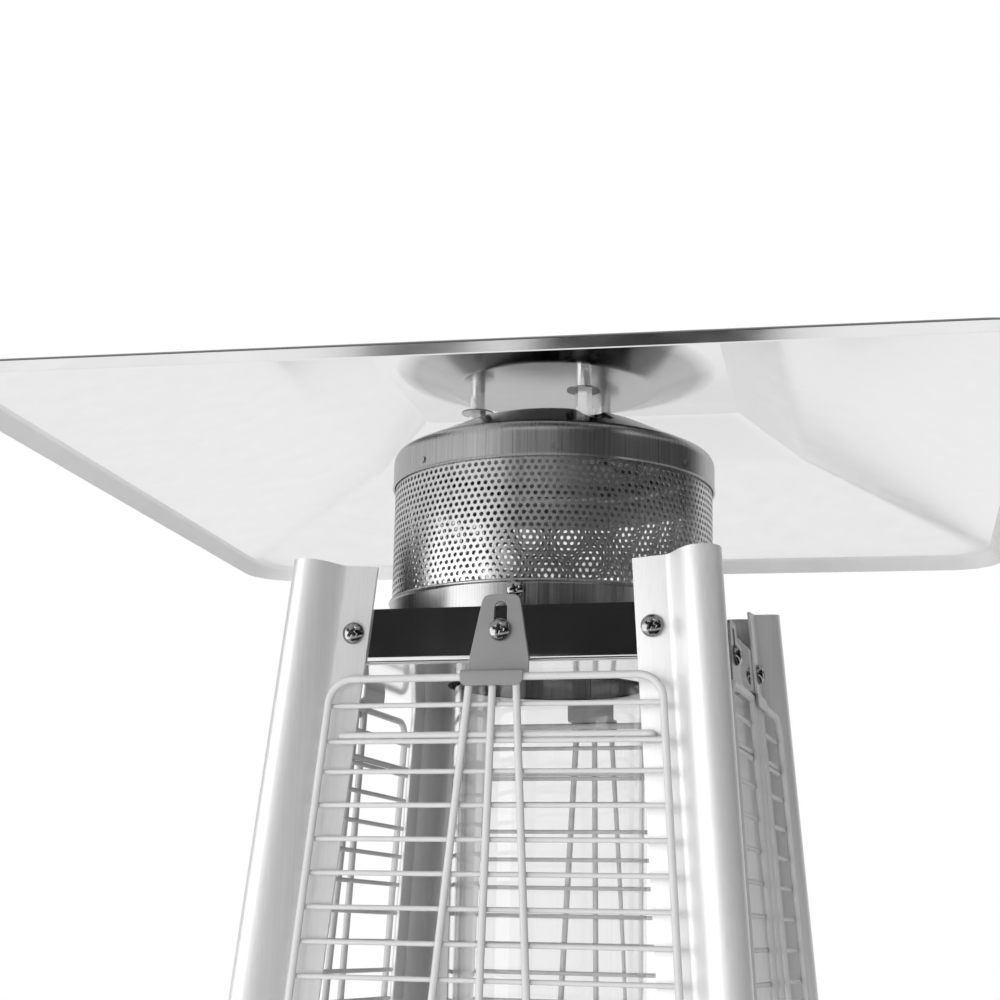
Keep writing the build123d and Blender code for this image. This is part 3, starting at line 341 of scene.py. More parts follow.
# a profile of radius and height turned about the upright axis
def lathe(name, profile, material, segments, sharp=35, closed=True):
    angles = [2 * pi * k / segments for k in range(segments)]
    verts = [(r * cos(a) * mm, r * sin(a) * mm, z * mm) for a in angles for r, z in profile]
    n = len(profile)
    faces = []
    for k in range(segments):
        m = (k + 1) % segments
        for i in range(n if closed else n - 1):
            j = (i + 1) % n
            faces.append((k * n + i, m * n + i, m * n + j, k * n + j))
    return makeObject(name, verts, faces, [material], sharp=sharp)


# rounds the corners of a path of number tuples: cuts are how far each corner is cut back along its sides
def eased(path, cuts, steps=5):
    out = [path[0]]
    for before, here, after, cut in zip(path, path[1:], path[2:], cuts):
        if not cut:
            out.append(here)
            continue
        a, b, c = Vector(before), Vector(here), Vector(after)
        start = b + (a - b).normalized() * min(cut, (a - b).length * 0.49)
        end = b + (c - b).normalized() * min(cut, (c - b).length * 0.49)
        for k in range(steps + 1):
            t = k / steps
            out.append(tuple(start * (1 - t) ** 2 + b * 2 * t * (1 - t) + end * t * t))
    out.append(path[-1])
    return out


# points close to both ends of each long run, so that its smooth shading stays level
def propped(path, gap):
    out = [path[0]]
    for before, here in zip(path, path[1:]):
        a, b = Vector(before), Vector(here)
        reach = (b - a).length
        if reach > 4 * gap:
            out += [tuple(a.lerp(b, gap / reach)), tuple(a.lerp(b, 1 - gap / reach))]
        out.append(here)
    return out


# reflector

reflectorSizes = {
    "half": 305.0, "low": 98.5, "lipRise": 9.5, "lipIn": 8.0, "corner": 38.0,
    "creaseHalf": 158.5, "crease": 154.0, "creaseCorner": 6.0,
    "plateauHalf": 115.0, "plateau": 180.0,
    "dishRim": 104.5, "dishFlat": 67.0, "dish": 167.5, "sheet": 0.8, "hub": 0.5,
    "bends": (4, 12, 4, 6, 2.5), "prop": 1.2,
    "lipBend": 1.5, "bendReach": 2.5, "dishPast": 12.0,  # where one finish changes to the next
}


# from the middle of a rounded square to its edge
def squareReach(angle, half, corner):
    c, s = abs(cos(angle)), abs(sin(angle))
    hi, lo = max(c, s), min(c, s)
    reach = half / hi
    if reach * lo <= half - corner:
        return reach
    mid = half - corner
    along = mid * (hi + lo)
    return along + sqrt(max(along * along - 2 * mid * mid + corner * corner, 0))


# rounded square rings of half width, height over the pan's edge and corner radius; octant is the first 45 degrees
def squareLoops(path, octant, lift=0.0):
    eighth = octant + [90 - a for a in reversed(octant[:-1])][:-1]
    angles = [radians(q * 90 + a) for q in range(4) for a in eighth]
    loops = []
    for half, height, corner in path:
        reaches = [squareReach(a, half, min(corner, half)) for a in angles]
        loops.append([(cos(a) * reach * mm, sin(a) * reach * mm, (panEdge + height + lift) * mm)
                      for a, reach in zip(angles, reaches)])
    return loops


def makeReflector():
    s = reflectorSizes
    lipTop = s["low"] + s["lipRise"]
    path = [
        (0.0, s["dish"], 0.0), (s["dishFlat"], s["dish"], s["dishFlat"]),
        (s["dishRim"], s["plateau"], s["dishRim"]), (s["plateauHalf"], s["plateau"], s["creaseCorner"]),
        (s["creaseHalf"], s["crease"], s["creaseCorner"]),
        (s["half"] - s["lipIn"], lipTop, s["corner"] - s["lipIn"]), (s["half"], s["low"], s["corner"]),
    ]
    fine = propped(eased(path, s["bends"], steps=7), s["prop"])
    fine[0] = (s["hub"], s["dish"], s["hub"])
    octant = [*range(0, 30, 3), *range(30, 39, 2), 39, 40, 40.7, 41.2, 41.6, 42, 42.4, 42.8, 43.2, 43.6,
              44, 44.3, 44.6, 44.8, 45]
    loops = squareLoops(fine, octant, -s["sheet"])
    verts, faces = loft(loops, capFirst=True)
    # underside, dish, bend above the lip and the lip itself; the wall's other side takes the four after them
    slots = []
    lipStart = s["half"] - s["lipIn"]
    for a, b in zip(fine, fine[1:]):
        middle = (a[0] + b[0]) / 2
        lip = 3 if middle > lipStart + s["lipBend"] else 2 if middle > lipStart - s["bendReach"] else 0
        slots += [1 if middle < s["plateauHalf"] + s["dishPast"] else lip] * len(loops[0])
    slots.append(1)
    below = [reflectorPolish, dishPolish, lipInside, lipInside]
    above = [reflectorTop, reflectorTop, lipBend, lipPolish]
    sheet = makeObject("reflectorSheet", verts, faces, below + above, sharp=80,
                       place=Matrix.Rotation(headTurn, 4, "Z"), outward=False, faceSlots=slots)
    wall = sheetWall(sheet, s["sheet"], len(faces) // 2, Vector((0, 0, -1)))
    wall.material_offset = wall.material_offset_rim = len(below)
    return applied(sheet)


settle(makeReflector(), "reflector_sheet", "reflector")
print("reflector made")

# burner screen: a sheet of punched tiles wrapped round

screenSizes = {
    "radius": 105.0, "inset": 0.02, "sheet": 0.8, "low": 12.4, "rows": 23, "columns": 144, "hole": 1.45,
}


def newTree(name, sizes, base=None):
    tree = bpy.data.node_groups.new(name, "GeometryNodeTree")
    if base:
        tree.interface.new_socket(base, in_out="INPUT", socket_type="NodeSocketGeometry")
    for label, value in sizes.items():
        kind = "NodeSocketInt" if isinstance(value, int) else "NodeSocketFloat"
        socket = tree.interface.new_socket(label, in_out="INPUT", socket_type=kind)
        socket.default_value = value
    tree.interface.new_socket("Geometry", in_out="OUTPUT", socket_type="NodeSocketGeometry")
    return tree, tree.nodes.new("NodeGroupInput").outputs


def finishTree(tree, geometry, material):
    dressed = addNode(tree, "GeometryNodeSetMaterial", {"Geometry": geometry}, Material=material)
    addNode(tree, "NodeGroupOutput", {0: dressed})
    return tree


def joinGeometry(tree, *parts):
    both = addNode(tree, "GeometryNodeJoinGeometry")
    for part in parts:
        tree.links.new(outlet(part), both.inputs[0])
    return both


def punchedSheetTree(sizes):
    tree, given = newTree("punchedSheet", sizes)
    turnSize = calc("MULTIPLY", given["Radius"], 2 * pi)
    pitch = calc("DIVIDE", turnSize, given["Columns"])
    rowRise = calc("MULTIPLY", pitch, sqrt(3) / 2)
    corner = calc("DIVIDE", pitch, sqrt(3))
    tile = addNode(tree, "GeometryNodeCurvePrimitiveCircle", {"Radius": corner}, Resolution=6)
    turned = addNode(tree, "GeometryNodeTransform", {"Geometry": tile, "Rotation": (0, 0, pi / 6)})
    hole = addNode(tree, "GeometryNodeCurvePrimitiveCircle", {"Radius": given["Hole"]}, Resolution=12)
    both = joinGeometry(tree, hole, turned)
    filled = addNode(tree, "GeometryNodeFillCurve", {"Curve": both})
    count = calc("MULTIPLY", given["Columns"], given["Rows"])
    index = tree.nodes.new("GeometryNodeInputIndex")
    row = calc("FLOOR", calc("DIVIDE", calc("ADD", index, 0.5), given["Columns"]))
    column = calc("SUBTRACT", index, calc("MULTIPLY", row, given["Columns"]))
    shift = calc("MULTIPLY", calc("MODULO", row, 2.0), 0.5)
    across = calc("MULTIPLY", calc("ADD", column, shift), pitch)
    spot = addNode(tree, "ShaderNodeCombineXYZ", {"X": across, "Y": calc("MULTIPLY", row, rowRise)})
    points = addNode(tree, "GeometryNodePoints", {"Count": count, "Position": spot})
    tiles = addNode(tree, "GeometryNodeInstanceOnPoints", {"Points": points, "Instance": filled})
    real = addNode(tree, "GeometryNodeRealizeInstances", {"Geometry": tiles})
    flat = addNode(tree, "ShaderNodeSeparateXYZ", {"Vector": tree.nodes.new("GeometryNodeInputPosition")})
    angle = calc("DIVIDE", flat.outputs["X"], given["Radius"])
    wrapped = addNode(tree, "ShaderNodeCombineXYZ", {
        "X": calc("MULTIPLY", calc("COSINE", angle), given["Radius"]),
        "Y": calc("MULTIPLY", calc("SINE", angle), given["Radius"]),
        "Z": calc("ADD", flat.outputs["Y"], given["Low"]),
    })
    bent = addNode(tree, "GeometryNodeSetPosition", {"Geometry": real, "Position": wrapped})
    joined = addNode(tree, "GeometryNodeMergeByDistance", {"Geometry": bent}, Distance=0.00004)
    return finishTree(tree, joined, punchedSteel)


def makeScreen():
    s = screenSizes
    sizes = {"Radius": (s["radius"] - s["inset"]) * mm, "Hole": s["hole"] * mm, "Columns": s["columns"],
             "Rows": s["rows"], "Low": (panEdge + s["low"]) * mm}
    thing = addObject("burnerScreen", newMesh("burnerScreen", []))
    runTree(thing, punchedSheetTree(sizes), sizes)
    thing.data.transform(Matrix.Rotation(headTurn, 4, "Z"))
    work = bmesh.new()
    work.from_mesh(thing.data)
    for face in work.faces:
        middle = face.calc_center_median()
        if face.normal.dot(Vector((middle.x, middle.y, 0))) < 0:
            face.normal_flip()
        face.smooth = True
    # hole walls, drawn in from each hole's edge
    rims = [e for e in work.edges if len(e.link_faces) == 1]
    made = bmesh.ops.extrude_edge_only(work, edges=rims)["geom"]
    thin = 1 - s["sheet"] / s["radius"]
    for v in made:
        if isinstance(v, bmesh.types.BMVert):
            v.co.x *= thin
            v.co.y *= thin
    for edge in rims:
        edge.smooth = False
    work.to_mesh(thing.data)
    work.free()
    return thing


screen = makeScreen()
settle(screen, "perforated_steel", "burner_screen")
print("screen punched:", len(screen.data.polygons), "faces")

# screen cap with pressed pockets, and the collar

capSizes = {
    "radius": 106.4, "low": 94.5, "shoulder": 116.5, "round": 5.5, "disc": 57.0, "top": 140.0, "sheet": 1.0,
    "pocket": 13.0, "pocketFloor": 134.0, "ring": 53.0, "firstAngle": -60.0, "groove": 8.0, "grooveFall": 0.30,
    "grooveStart": 6.0, "easeIn": 2.0, "easeOver": 3.0, "discRound": 10.0, "around": 300, "ringStep": 1.5,
}
collarSizes = {"inner": 105.2, "wall": 1.0, "top": 19.0, "lip": 1.3, "low": -32.8, "foot": 6.0,
               "screwHeight": 12.0, "screwTurn": -2.2}


def standoffSpots():
    s = capSizes
    angles = [radians(s["firstAngle"] + 120 * k) + headTurn for k in range(3)]
    return [Vector((s["ring"] * cos(a), s["ring"] * sin(a), 0)) for a in angles]


def makeCap():
    s = capSizes
    # a small bead round the lower edge, then the wall, the cone and the disc
    bead = [(-0.9, 0.4), (-0.3, 0), (0.4, 0.3), (0.45, 1.0), (0, 1.7)]
    path = [(s["radius"] + x, s["low"] + z) for x, z in bead]
    path += [(s["radius"], s["shoulder"]), (s["disc"], s["top"]), (0.6, s["top"])]
    fine = propped(eased(path, [0, 0, 0, 0, s["round"], s["discRound"]], steps=7), 0.5)
    # more rings across the cone and the disc, for the pockets
    rings = []
    for a, b in zip(fine, fine[1:]):
        pieces = max(1, int(abs(a[0] - b[0]) / s["ringStep"]))
        rings += [(a[0] + (b[0] - a[0]) * k / pieces, a[1] + (b[1] - a[1]) * k / pieces) for k in range(pieces)]
    rings.append(fine[-1])
    spots = standoffSpots()
    loops = []
    count = s["around"]
    for r, z in rings:
        loop = []
        for k in range(count):
            a = 2 * pi * k / count
            x, y = r * cos(a), r * sin(a)
            height = z
            if z > s["shoulder"]:
                spot = min(spots, key=lambda spot: (Vector((x, y, 0)) - spot).length)
                near = (Vector((x, y, 0)) - spot).length
                # the pocket runs out down the cone as a groove
                aside = abs(x * spot.y - y * spot.x) / s["ring"]
                inside = [near - s["pocket"]] + [aside - s["groove"]] * (r > s["ring"])
                blend = min(max((min(inside) + s["easeIn"]) / s["easeOver"], 0), 1)
                blend = blend * blend * (3 - 2 * blend)
                floor = s["pocketFloor"] - s["grooveFall"] * max(r - s["ring"] - s["grooveStart"], 0)
                height = min(z, floor) * (1 - blend) + z * blend
            loop.append((x * mm, y * mm, (panEdge + height) * mm))
        loops.append(loop)
    verts, faces = loft(loops, capLast=True)
    slots = []
    for a, b in zip(rings, rings[1:]):
        slots += [0 if (a[1] + b[1]) / 2 < s["shoulder"] + 0.5 else 1] * count
    slots.append(1)
    cap = makeObject("screenCap", verts, faces, [brushedSteel, mirrorSteel], sharp=60, faceSlots=slots,
                     outward=False)
    sheetWall(cap, s["sheet"], len(faces) - 1, Vector((0, 0, 1)))
    return applied(cap)


def makeCollar():
    s = collarSizes
    inner, outer = s["inner"], s["inner"] + s["wall"]
    lip = s["lip"] / 2 + s["wall"] / 2
    centre = (inner + outer) / 2 + s["lip"] / 4
    curl = [(centre + lip * 0.9 * cos(radians(a)), s["top"] - lip + lip * sin(radians(a)))
            for a in range(-60, 151, 15)]
    profile = [(inner, s["low"]), (outer + s["foot"], s["low"]), (outer + s["foot"], s["low"] + 1.0),
               (outer + 1.2, s["low"] + 1.2), (outer, s["low"] + 2.4), (outer, s["top"] - 2 * lip - 0.5)] + curl
    profile = propped(profile, 0.4)
    profile.append((inner, s["top"] - lip))
    profile = [(r, z + panEdge) for r, z in profile]
    return lathe("screenCollar", profile, brushedSteel, segments=200)


settle(makeCap(), "mirror_steel", "screen_cap")
settle(makeCollar(), "satin_steel", "screen_collar")
print("cap and collar made")

# upper pan

panSizes = {"skirt": 34.0, "behind": 2.0, "bend": 4.5, "corner": 2.0, "sheet": 1.2, "hole": 67.0}


def makePan():
    s = panSizes
    top, low = 0.0, -s["skirt"]
    half = lambda z: faceHalf - lean * z - s["behind"]
    path = [(half(top), top, s["corner"]), (half(low), low, s["corner"]), (s["hole"], low, s["hole"])]
    fine = propped(eased(path, [s["bend"]], steps=8), 0.4)
    verts, faces = loft(squareLoops(fine, [0, 6, 12, 18, 24, 30, 35, 40, 43, 44, 44.4, 44.7, 45]))
    pan = makeObject("upperPan", verts, faces, [panPolish], sharp=50, outward=False)
    centre = pan.data.polygons[0].center
    sheetWall(pan, s["sheet"], 0, Vector((centre.x, centre.y, 0)))
    return applied(pan)


settle(makePan(), "mirror_steel", "upper_pan")

# corner posts, the section drawn once and run up the lean

postSizes = {
    "wall": 2.0, "flangeEdge": 81.0, "beadStart": 100.6, "beadCentre": 2.5, "beadRound": 12.1,
    "riseOut": 0.30, "riseUp": 0.07, "crownOut": 0.45, "rise": 26.0, "low": 60.0, "soft": 0.35,
}


def postOutline():
    s = postSizes
    edge, start = s["flangeEdge"] - faceHalf, s["beadStart"] - faceHalf
    centre, crown, wall = s["beadCentre"], s["beadCentre"] + s["beadRound"], s["wall"]

    def bend(begin, base, top, steps=14):
        wide = centre - begin
        p = [(begin, base), (begin + s["riseOut"] * wide, base + s["riseUp"] * top),
             (begin + s["crownOut"] * wide, top), (centre, top)]
        shares = [((1 - t) ** 3, 3 * t * (1 - t) ** 2, 3 * t * t * (1 - t), t ** 3)
                  for t in (k / steps for k in range(steps + 1))]
        return [tuple(sum(w * q[axis] for w, q in zip(share, p)) for axis in (0, 1)) for share in shares]

    def arc(radius, steps=16):
        return [(centre + radius * sin(a), centre + radius * cos(a))
                for a in (pi / 2 * k / steps for k in range(1, steps))]

    flip = lambda points: [(y, x) for x, y in reversed(points)]
    outer = bend(start, 0, crown)
    inner = bend(start + wall / 2, -wall, crown - wall)
    soft = s["soft"]
    outline = [(edge + soft, 0)] + outer + arc(s["beadRound"]) + flip(outer)
    outline += [(0, edge + soft), (-soft * 0.3, edge + soft * 0.3), (-soft, edge), (-wall + soft, edge),
                (-wall, edge + soft)]
    outline += (inner + arc(s["beadRound"] - wall) + flip(inner))[::-1]
    outline += [(edge + soft, -wall), (edge, -wall + soft), (edge, -soft), (edge + soft * 0.3, -soft * 0.3)]
    return outline


def makePost(quarters, name):
    s = postSizes
    top = panEdge + s["rise"]
    along = Vector((-lean, -lean, 1))
    cutSpot = Vector((s["flangeEdge"] - lean * s["rise"], faceHalf - lean * s["rise"], top))
    lows, highs = [], []
    corner = faceHalf + lean * (panEdge - s["low"])
    for x, y in postOutline():
        low = Vector((corner + x, corner + y, s["low"]))
        reach = (cutSpot - low).dot(along) / along.dot(along)
        lows.append(low * mm)
        highs.append((low + along * reach) * mm)
    verts, faces = loft([lows, highs], capFirst=True, capLast=True)
    return makeObject(name, verts, faces, [postAluminium], sharp=28, place=onFace(quarters))


for quarters, name in enumerate(("post_rear_right", "post_rear_left", "post_front_left", "post_front_right")):
    settle(makePost(quarters, name + "Section"), "polished_aluminium", name)
print("pan and posts made")

# flame tube

tubeSizes = {"outer": 62.5, "inner": 59.5, "low": 873.0, "high": 2100.0, "round": 1.2}


def makeTube():
    s = tubeSizes
    r = s["round"]
    turns = [radians(d) for d in (0, 20, 45, 70, 90)]
    rim = [(r - r * cos(a), s["high"] - r + r * sin(a)) for a in turns]
    profile = [(s["outer"], s["low"])] + [(s["outer"] - x, z) for x, z in rim]
    profile += [(s["inner"] + x, z) for x, z in reversed(rim)] + [(s["inner"], s["low"])]
    return lathe("flameTube", propped(profile, 0.4), tubeGlass, segments=240, sharp=50)


tube = makeTube()
settle(tube, "tube_glass", "glass_tube")
# clear glass throws no shade on the wires and posts behind it
tube.visible_shadow = False
tube.visible_diffuse = False

# screws: one head made once, set on points that carry its direction and size

screwSizes = {
    "head": 6.8, "dome": 3.2, "edge": 1.1, "shank": 2.4, "length": 11.0, "crossLong": 8.0, "crossWide": 1.9,
    "crossDeep": 2.9, "crossTaper": (0.45, 0.62), "drop": 15.0, "deckHeight": 840.0, "clipOut": -0.49,
    "panelHeights": (120, 420, 720), "smallShare": 0.62, "collarShare": 0.85,
    "turns": (0.35, 1.1, 0.6, 0.2, 1.35, 0.85, 0.5, 1.25, 0.05, 0.95),  # how far each cross is turned
}


def cutWith(thing, cutter):
    modifier = thing.modifiers.new("cut", "BOOLEAN")
    modifier.operation = "DIFFERENCE"
    modifier.solver = "EXACT"
    modifier.object = cutter
    applied(thing)
    bpy.data.objects.remove(cutter)


def makeScrew():
    s = screwSizes
    profile = [(0.01, s["edge"] + s["dome"])]
    for k in range(1, 9):
        a = radians(90 - k * 10)
        profile.append((s["head"] * cos(a), s["edge"] + s["dome"] * sin(a)))
    profile += [(s["head"], s["edge"]), (s["head"], 0.25), (s["head"] - 0.3, 0), (s["shank"], 0),
                (s["shank"], -s["length"] + 0.6), (s["shank"] - 0.6, -s["length"]), (0.01, -s["length"])]
    head = lathe("screwHead", list(reversed(profile)), nickel, segments=36, sharp=40, closed=False)
    top, bottom = s["edge"] + s["dome"] + 0.5, s["edge"] + s["dome"] - s["crossDeep"]
    # two crossed wedges, shorter and thinner at the bottom
    long, wide = s["crossLong"] / 2, s["crossWide"] / 2
    loops = [[(x * long * share * mm, y * wide * thin * mm, z * mm) for x, y in squareCorners]
             for z, share, thin in ((bottom, *s["crossTaper"]), (top, 1.0, 1.0))]
    for turn in (0, 1):
        verts, faces = loft(loops, capFirst=True, capLast=True)
        cutWith(head, makeObject("recess", verts, faces, [nickel], place=onFace(turn)))
    return head


def screwTree(template):
    tree, given = newTree("screwSet", {"Spin": 0.0}, base="Points")
    aim, size, spin = (addNode(tree, "GeometryNodeInputNamedAttribute", data_type=kind, Name=label)
                       for label, kind in (("aim", "FLOAT_VECTOR"), ("size", "FLOAT"), ("spin", "FLOAT")))
    facing = addNode(tree, "FunctionNodeAlignRotationToVector", {"Vector": aim}, axis="Z")
    twist = addNode(tree, "FunctionNodeAxisAngleToRotation",
                    {"Axis": (0, 0, 1), "Angle": calc("ADD", spin, given["Spin"])})
    both = addNode(tree, "FunctionNodeRotateRotation", {0: facing, 1: twist}, rotation_space="LOCAL")
    source = addNode(tree, "GeometryNodeObjectInfo", Object=template)
    dots = addNode(tree, "GeometryNodeMeshToPoints", {"Mesh": given["Points"]})
    copies = addNode(tree, "GeometryNodeInstanceOnPoints", {
        "Points": dots, "Instance": source.outputs["Geometry"], "Rotation": both, "Scale": size,
    })
    real = addNode(tree, "GeometryNodeRealizeInstances", {"Geometry": copies})
    return finishTree(tree, real, nickel)


def scatterOn(name, spots, tree):
    points, aims, sizes, spins = zip(*spots)
    mesh = newMesh(name, points)
    for label, kind, field, values in (
        ("aim", "FLOAT_VECTOR", "vector", [c for aim in aims for c in aim]),
        ("size", "FLOAT", "value", sizes), ("spin", "FLOAT", "value", spins),
    ):
        mesh.attributes.new(label, kind, "POINT")
        mesh.attributes[label].data.foreach_set(field, values)
    return runTree(addObject(name, mesh), tree, {"Spin": 0.0})


def flangeMiddle(height):
    s = postSizes
    return (s["flangeEdge"] + s["beadStart"]) / 2 + lean * (panEdge - height)


def faceSpot(height, across, out, quarters, size, spin):
    place = facePlace(height, quarters)
    return (place @ Vector((across * mm, 0, out * mm)), place.to_3x3() @ Vector((0, 0, 1)), size, spin)


def makeAllScrews():
    s = screwSizes
    template = makeScrew()
    tree = screwTree(template)
    turns = s["turns"]
    frameSpots, panelSpots, collarSpots = [], [], []

    def pairs(spots, heights, quarters, share, first, step):
        for k, height in enumerate(heights):
            for side in (-1, 1):
                spin = turns[(first + k * step + side) % len(turns)]
                spots.append(faceSpot(height, side * flangeMiddle(height), 0, quarters, share, spin))

    for quarters in range(4):
        pairs(frameSpots, (panEdge - s["drop"], s["deckHeight"]), quarters, 1.0, quarters * 3, 2)
        frameSpots.append(faceSpot(panEdge - s["drop"], 0, s["clipOut"], quarters, 1.0, turns[quarters + 4]))
        if quarters:
            pairs(panelSpots, s["panelHeights"], quarters, s["smallShare"], quarters, 3)
        angle = radians(90 * quarters - 90 + collarSizes["screwTurn"]) + headTurn
        aim = Vector((cos(angle), sin(angle), 0))
        out = collarSizes["inner"] + collarSizes["wall"]
        spot = aim * out * mm + Vector((0, 0, (panEdge + collarSizes["screwHeight"]) * mm))
        collarSpots.append((spot, aim, s["collarShare"], turns[quarters]))
    for kind, spots in (("frame", frameSpots), ("panel", panelSpots), ("collar", collarSpots)):
        settle(scatterOn(kind + "ScrewSet", spots, tree), "bright_screws", kind + "_screws")
    bpy.data.objects.remove(template)


makeAllScrews()
print("tube and screws made")

# clips that hook over the guards

clipSizes = {
    "topHalf": 11.2, "lowHalf": 18.5, "rise": 6.9, "flare": 9.0, "sheet": 1.5, "round": 5.0, "soft": 0.22,
    "slot": 4.0, "slotHigh": 2.6, "slotLow": -21.5, "shelf": -42.786, "out": 14.8, "bend": 1.6, "back": -1.994,
    "lip": 10.0, "lipHalf": 19.0, "lipRound": 4.0,
}


def makeClip(quarters):
    s = clipSizes
    bendLow = s["shelf"] + s["bend"] + s["sheet"]
    lowHalf = s["lowHalf"]
    flareLow = s["shelf"] + s["flare"]
    side = lambda y: s["topHalf"] + (lowHalf - s["topHalf"]) * min((s["rise"] - y) / (s["rise"] - flareLow), 1)
    shoulder = eased([(side(-10), -10), (s["topHalf"], s["rise"]), (0, s["rise"])], [s["round"]], steps=8)
    right = [(lowHalf, bendLow), (lowHalf, flareLow - 1), (lowHalf - 0.1, flareLow + 1)] + shoulder[1:-1]
    columns = 9
    startHalf = side(bendLow)
    bottom = [(-startHalf + 2 * startHalf * k / (columns - 1), bendLow) for k in range(columns)]
    outline = bottom + right[1:] + [(-x, y) for x, y in reversed(right[1:])]
    slot = []
    for centre, begin in ((s["slotHigh"] - s["slot"], 0), (s["slotLow"] + s["slot"], 180)):
        slot += [(s["slot"] * cos(radians(begin + d)), centre + s["slot"] * sin(radians(begin + d)))
                 for d in range(0, 181, 15)]
    work = bmesh.new()
    loops = []
    for points in (outline, slot):
        verts = [work.verts.new((x, y, s["sheet"])) for x, y in points]
        loops += [work.edges.new((verts[i], verts[(i + 1) % len(verts)])) for i in range(len(verts))]
    bmesh.ops.triangle_fill(work, edges=loops, use_beauty=True)
    # strip below the plate, bent out into the shelf and down again into the lip
    outer = s["sheet"]
    path = [(bendLow, outer, startHalf)]
    for d in range(15, 91, 15):
        a = radians(d)
        path.append((bendLow - s["bend"] * sin(a), outer + s["bend"] * (1 - cos(a)), lowHalf))
    lipFace = s["out"] + s["sheet"]
    radius = s["bend"] + s["sheet"]
    top = s["shelf"] + s["sheet"]
    for d in range(0, 91, 15):
        a = radians(d)
        path.append((top - radius * (1 - cos(a)), lipFace - radius + radius * sin(a), s["lipHalf"]))
    lipLow = top - s["lip"]
    corner = s["lipRound"]
    for share in (1, 0.62, 0.3, 0.1, 0):
        y = lipLow + corner * share
        into = corner - sqrt(max(corner ** 2 - (lipLow + corner - y) ** 2, 0))
        path.append((y, lipFace, s["lipHalf"] - into))
    rows = [[work.verts.new((-half + 2 * half * k / (columns - 1), y, z)) for k in range(columns)]
            for y, z, half in path]
    for a, b in zip(rows, rows[1:]):
        for k in range(columns - 1):
            work.faces.new((a[k], a[k + 1], b[k + 1], b[k]))
    bmesh.ops.remove_doubles(work, verts=work.verts, dist=0.001)
    bmesh.ops.recalc_face_normals(work, faces=work.faces)
    topFace = max(work.faces, key=lambda f: f.calc_center_median().y)
    if topFace.normal.z < 0:
        bmesh.ops.reverse_faces(work, faces=work.faces)
    mesh = bpy.data.meshes.new("clipPlate")
    work.to_mesh(mesh)
    work.free()
    mesh.transform(Matrix.Scale(mm, 4))
    mesh.transform(facePlace(panEdge, quarters) @ Matrix.Translation((0, 0, s["back"] * mm)))
    clip = finishMesh("clipPlate", mesh, [zincSheet], outward=False, sharp=40)
    sheetWall(clip, s["sheet"])
    edges = clip.modifiers.new("soft", "BEVEL")
    edges.width = s["soft"] * mm
    edges.segments = 2
    edges.limit_method = "ANGLE"
    edges.angle_limit = radians(50)
    return applied(clip)


sideNames = ("front", "right", "rear", "left")
for quarters, side in enumerate(sideNames):
    settle(makeClip(quarters), "zinc_plate", "clip_" + side, body="clip_" + side)

# wire guards

guardSizes = {
    "wire": 2.25, "cross": 1.5, "spacer": 2.0, "out": 10.0, "halfTop": 102.5, "share": 0.07, "top": 2034.6,
    "bottom": 865.25, "corner": 15.0, "pitch": 19.55, "first": 15.5, "sink": 0.4, "fanTop": 14.0,
    "fanShare": 0.073, "apart": 3.7, "spacerHalf": 91.5, "spacerBend": 4.0, "gap": 0.1,
}


def crossWireTree(sizes):
    tree, given = newTree("crossWires", sizes, base="Frame")
    index = tree.nodes.new("GeometryNodeInputIndex")
    last = calc("SUBTRACT", given["Count"], 2.0)
    paired = calc("ADD", calc("COMPARE", index, 1.0), calc("COMPARE", index, last))
    below = calc("ADD", given["First"], calc("MULTIPLY", index, given["Pitch"]))
    below = calc("ADD", below, calc("MULTIPLY", paired, calc("MULTIPLY", given["Apart"], 0.5)))
    rise = calc("SUBTRACT", given["Tall"], below)
    spot = addNode(tree, "ShaderNodeCombineXYZ", {"Y": rise, "Z": given["Out"]})
    points = addNode(tree, "GeometryNodePoints", {"Count": given["Count"], "Position": spot})
    half = calc("ADD", given["Half"], calc("MULTIPLY", below, given["Share"]))
    wire = addNode(tree, "GeometryNodeMeshCylinder", {"Radius": given["Wire"]}, Vertices=14, Depth=1.0)
    size = addNode(tree, "ShaderNodeCombineXYZ", {"X": 1.0, "Y": 1.0, "Z": calc("MULTIPLY", half, 2.0)})
    copies = addNode(tree, "GeometryNodeInstanceOnPoints", {
        "Points": points, "Instance": wire, "Scale": size, "Rotation": (0, pi / 2, 0),
    })
    real = addNode(tree, "GeometryNodeRealizeInstances", {"Geometry": copies})
    return finishTree(tree, joinGeometry(tree, real, given["Frame"]), wireCoat)


# round wire along a path of points, closed or open
def wireAlong(points, radius, sides=16, closed=False):
    pts = [Vector(p) for p in points]
    n = len(pts)
    loops = []
    normal = Vector((0, 0, 1))
    for i, p in enumerate(pts):
        before = pts[(i - 1) % n] if closed or i else pts[0]
        after = pts[(i + 1) % n] if closed or i < n - 1 else pts[-1]
        tangent = (after - before).normalized()
        side = normal.cross(tangent)
        if side.length < 0.01:
            side = Vector((0, 1, 0)).cross(tangent)
        side.normalize()
        up = tangent.cross(side)
        loops.append([p + radius * (cos(a) * side + sin(a) * up)
                      for a in (2 * pi * k / sides for k in range(sides))])
    if closed:
        loops.append(loops[0])
        return loft(loops)
    return loft(loops, capFirst=True, capLast=True)


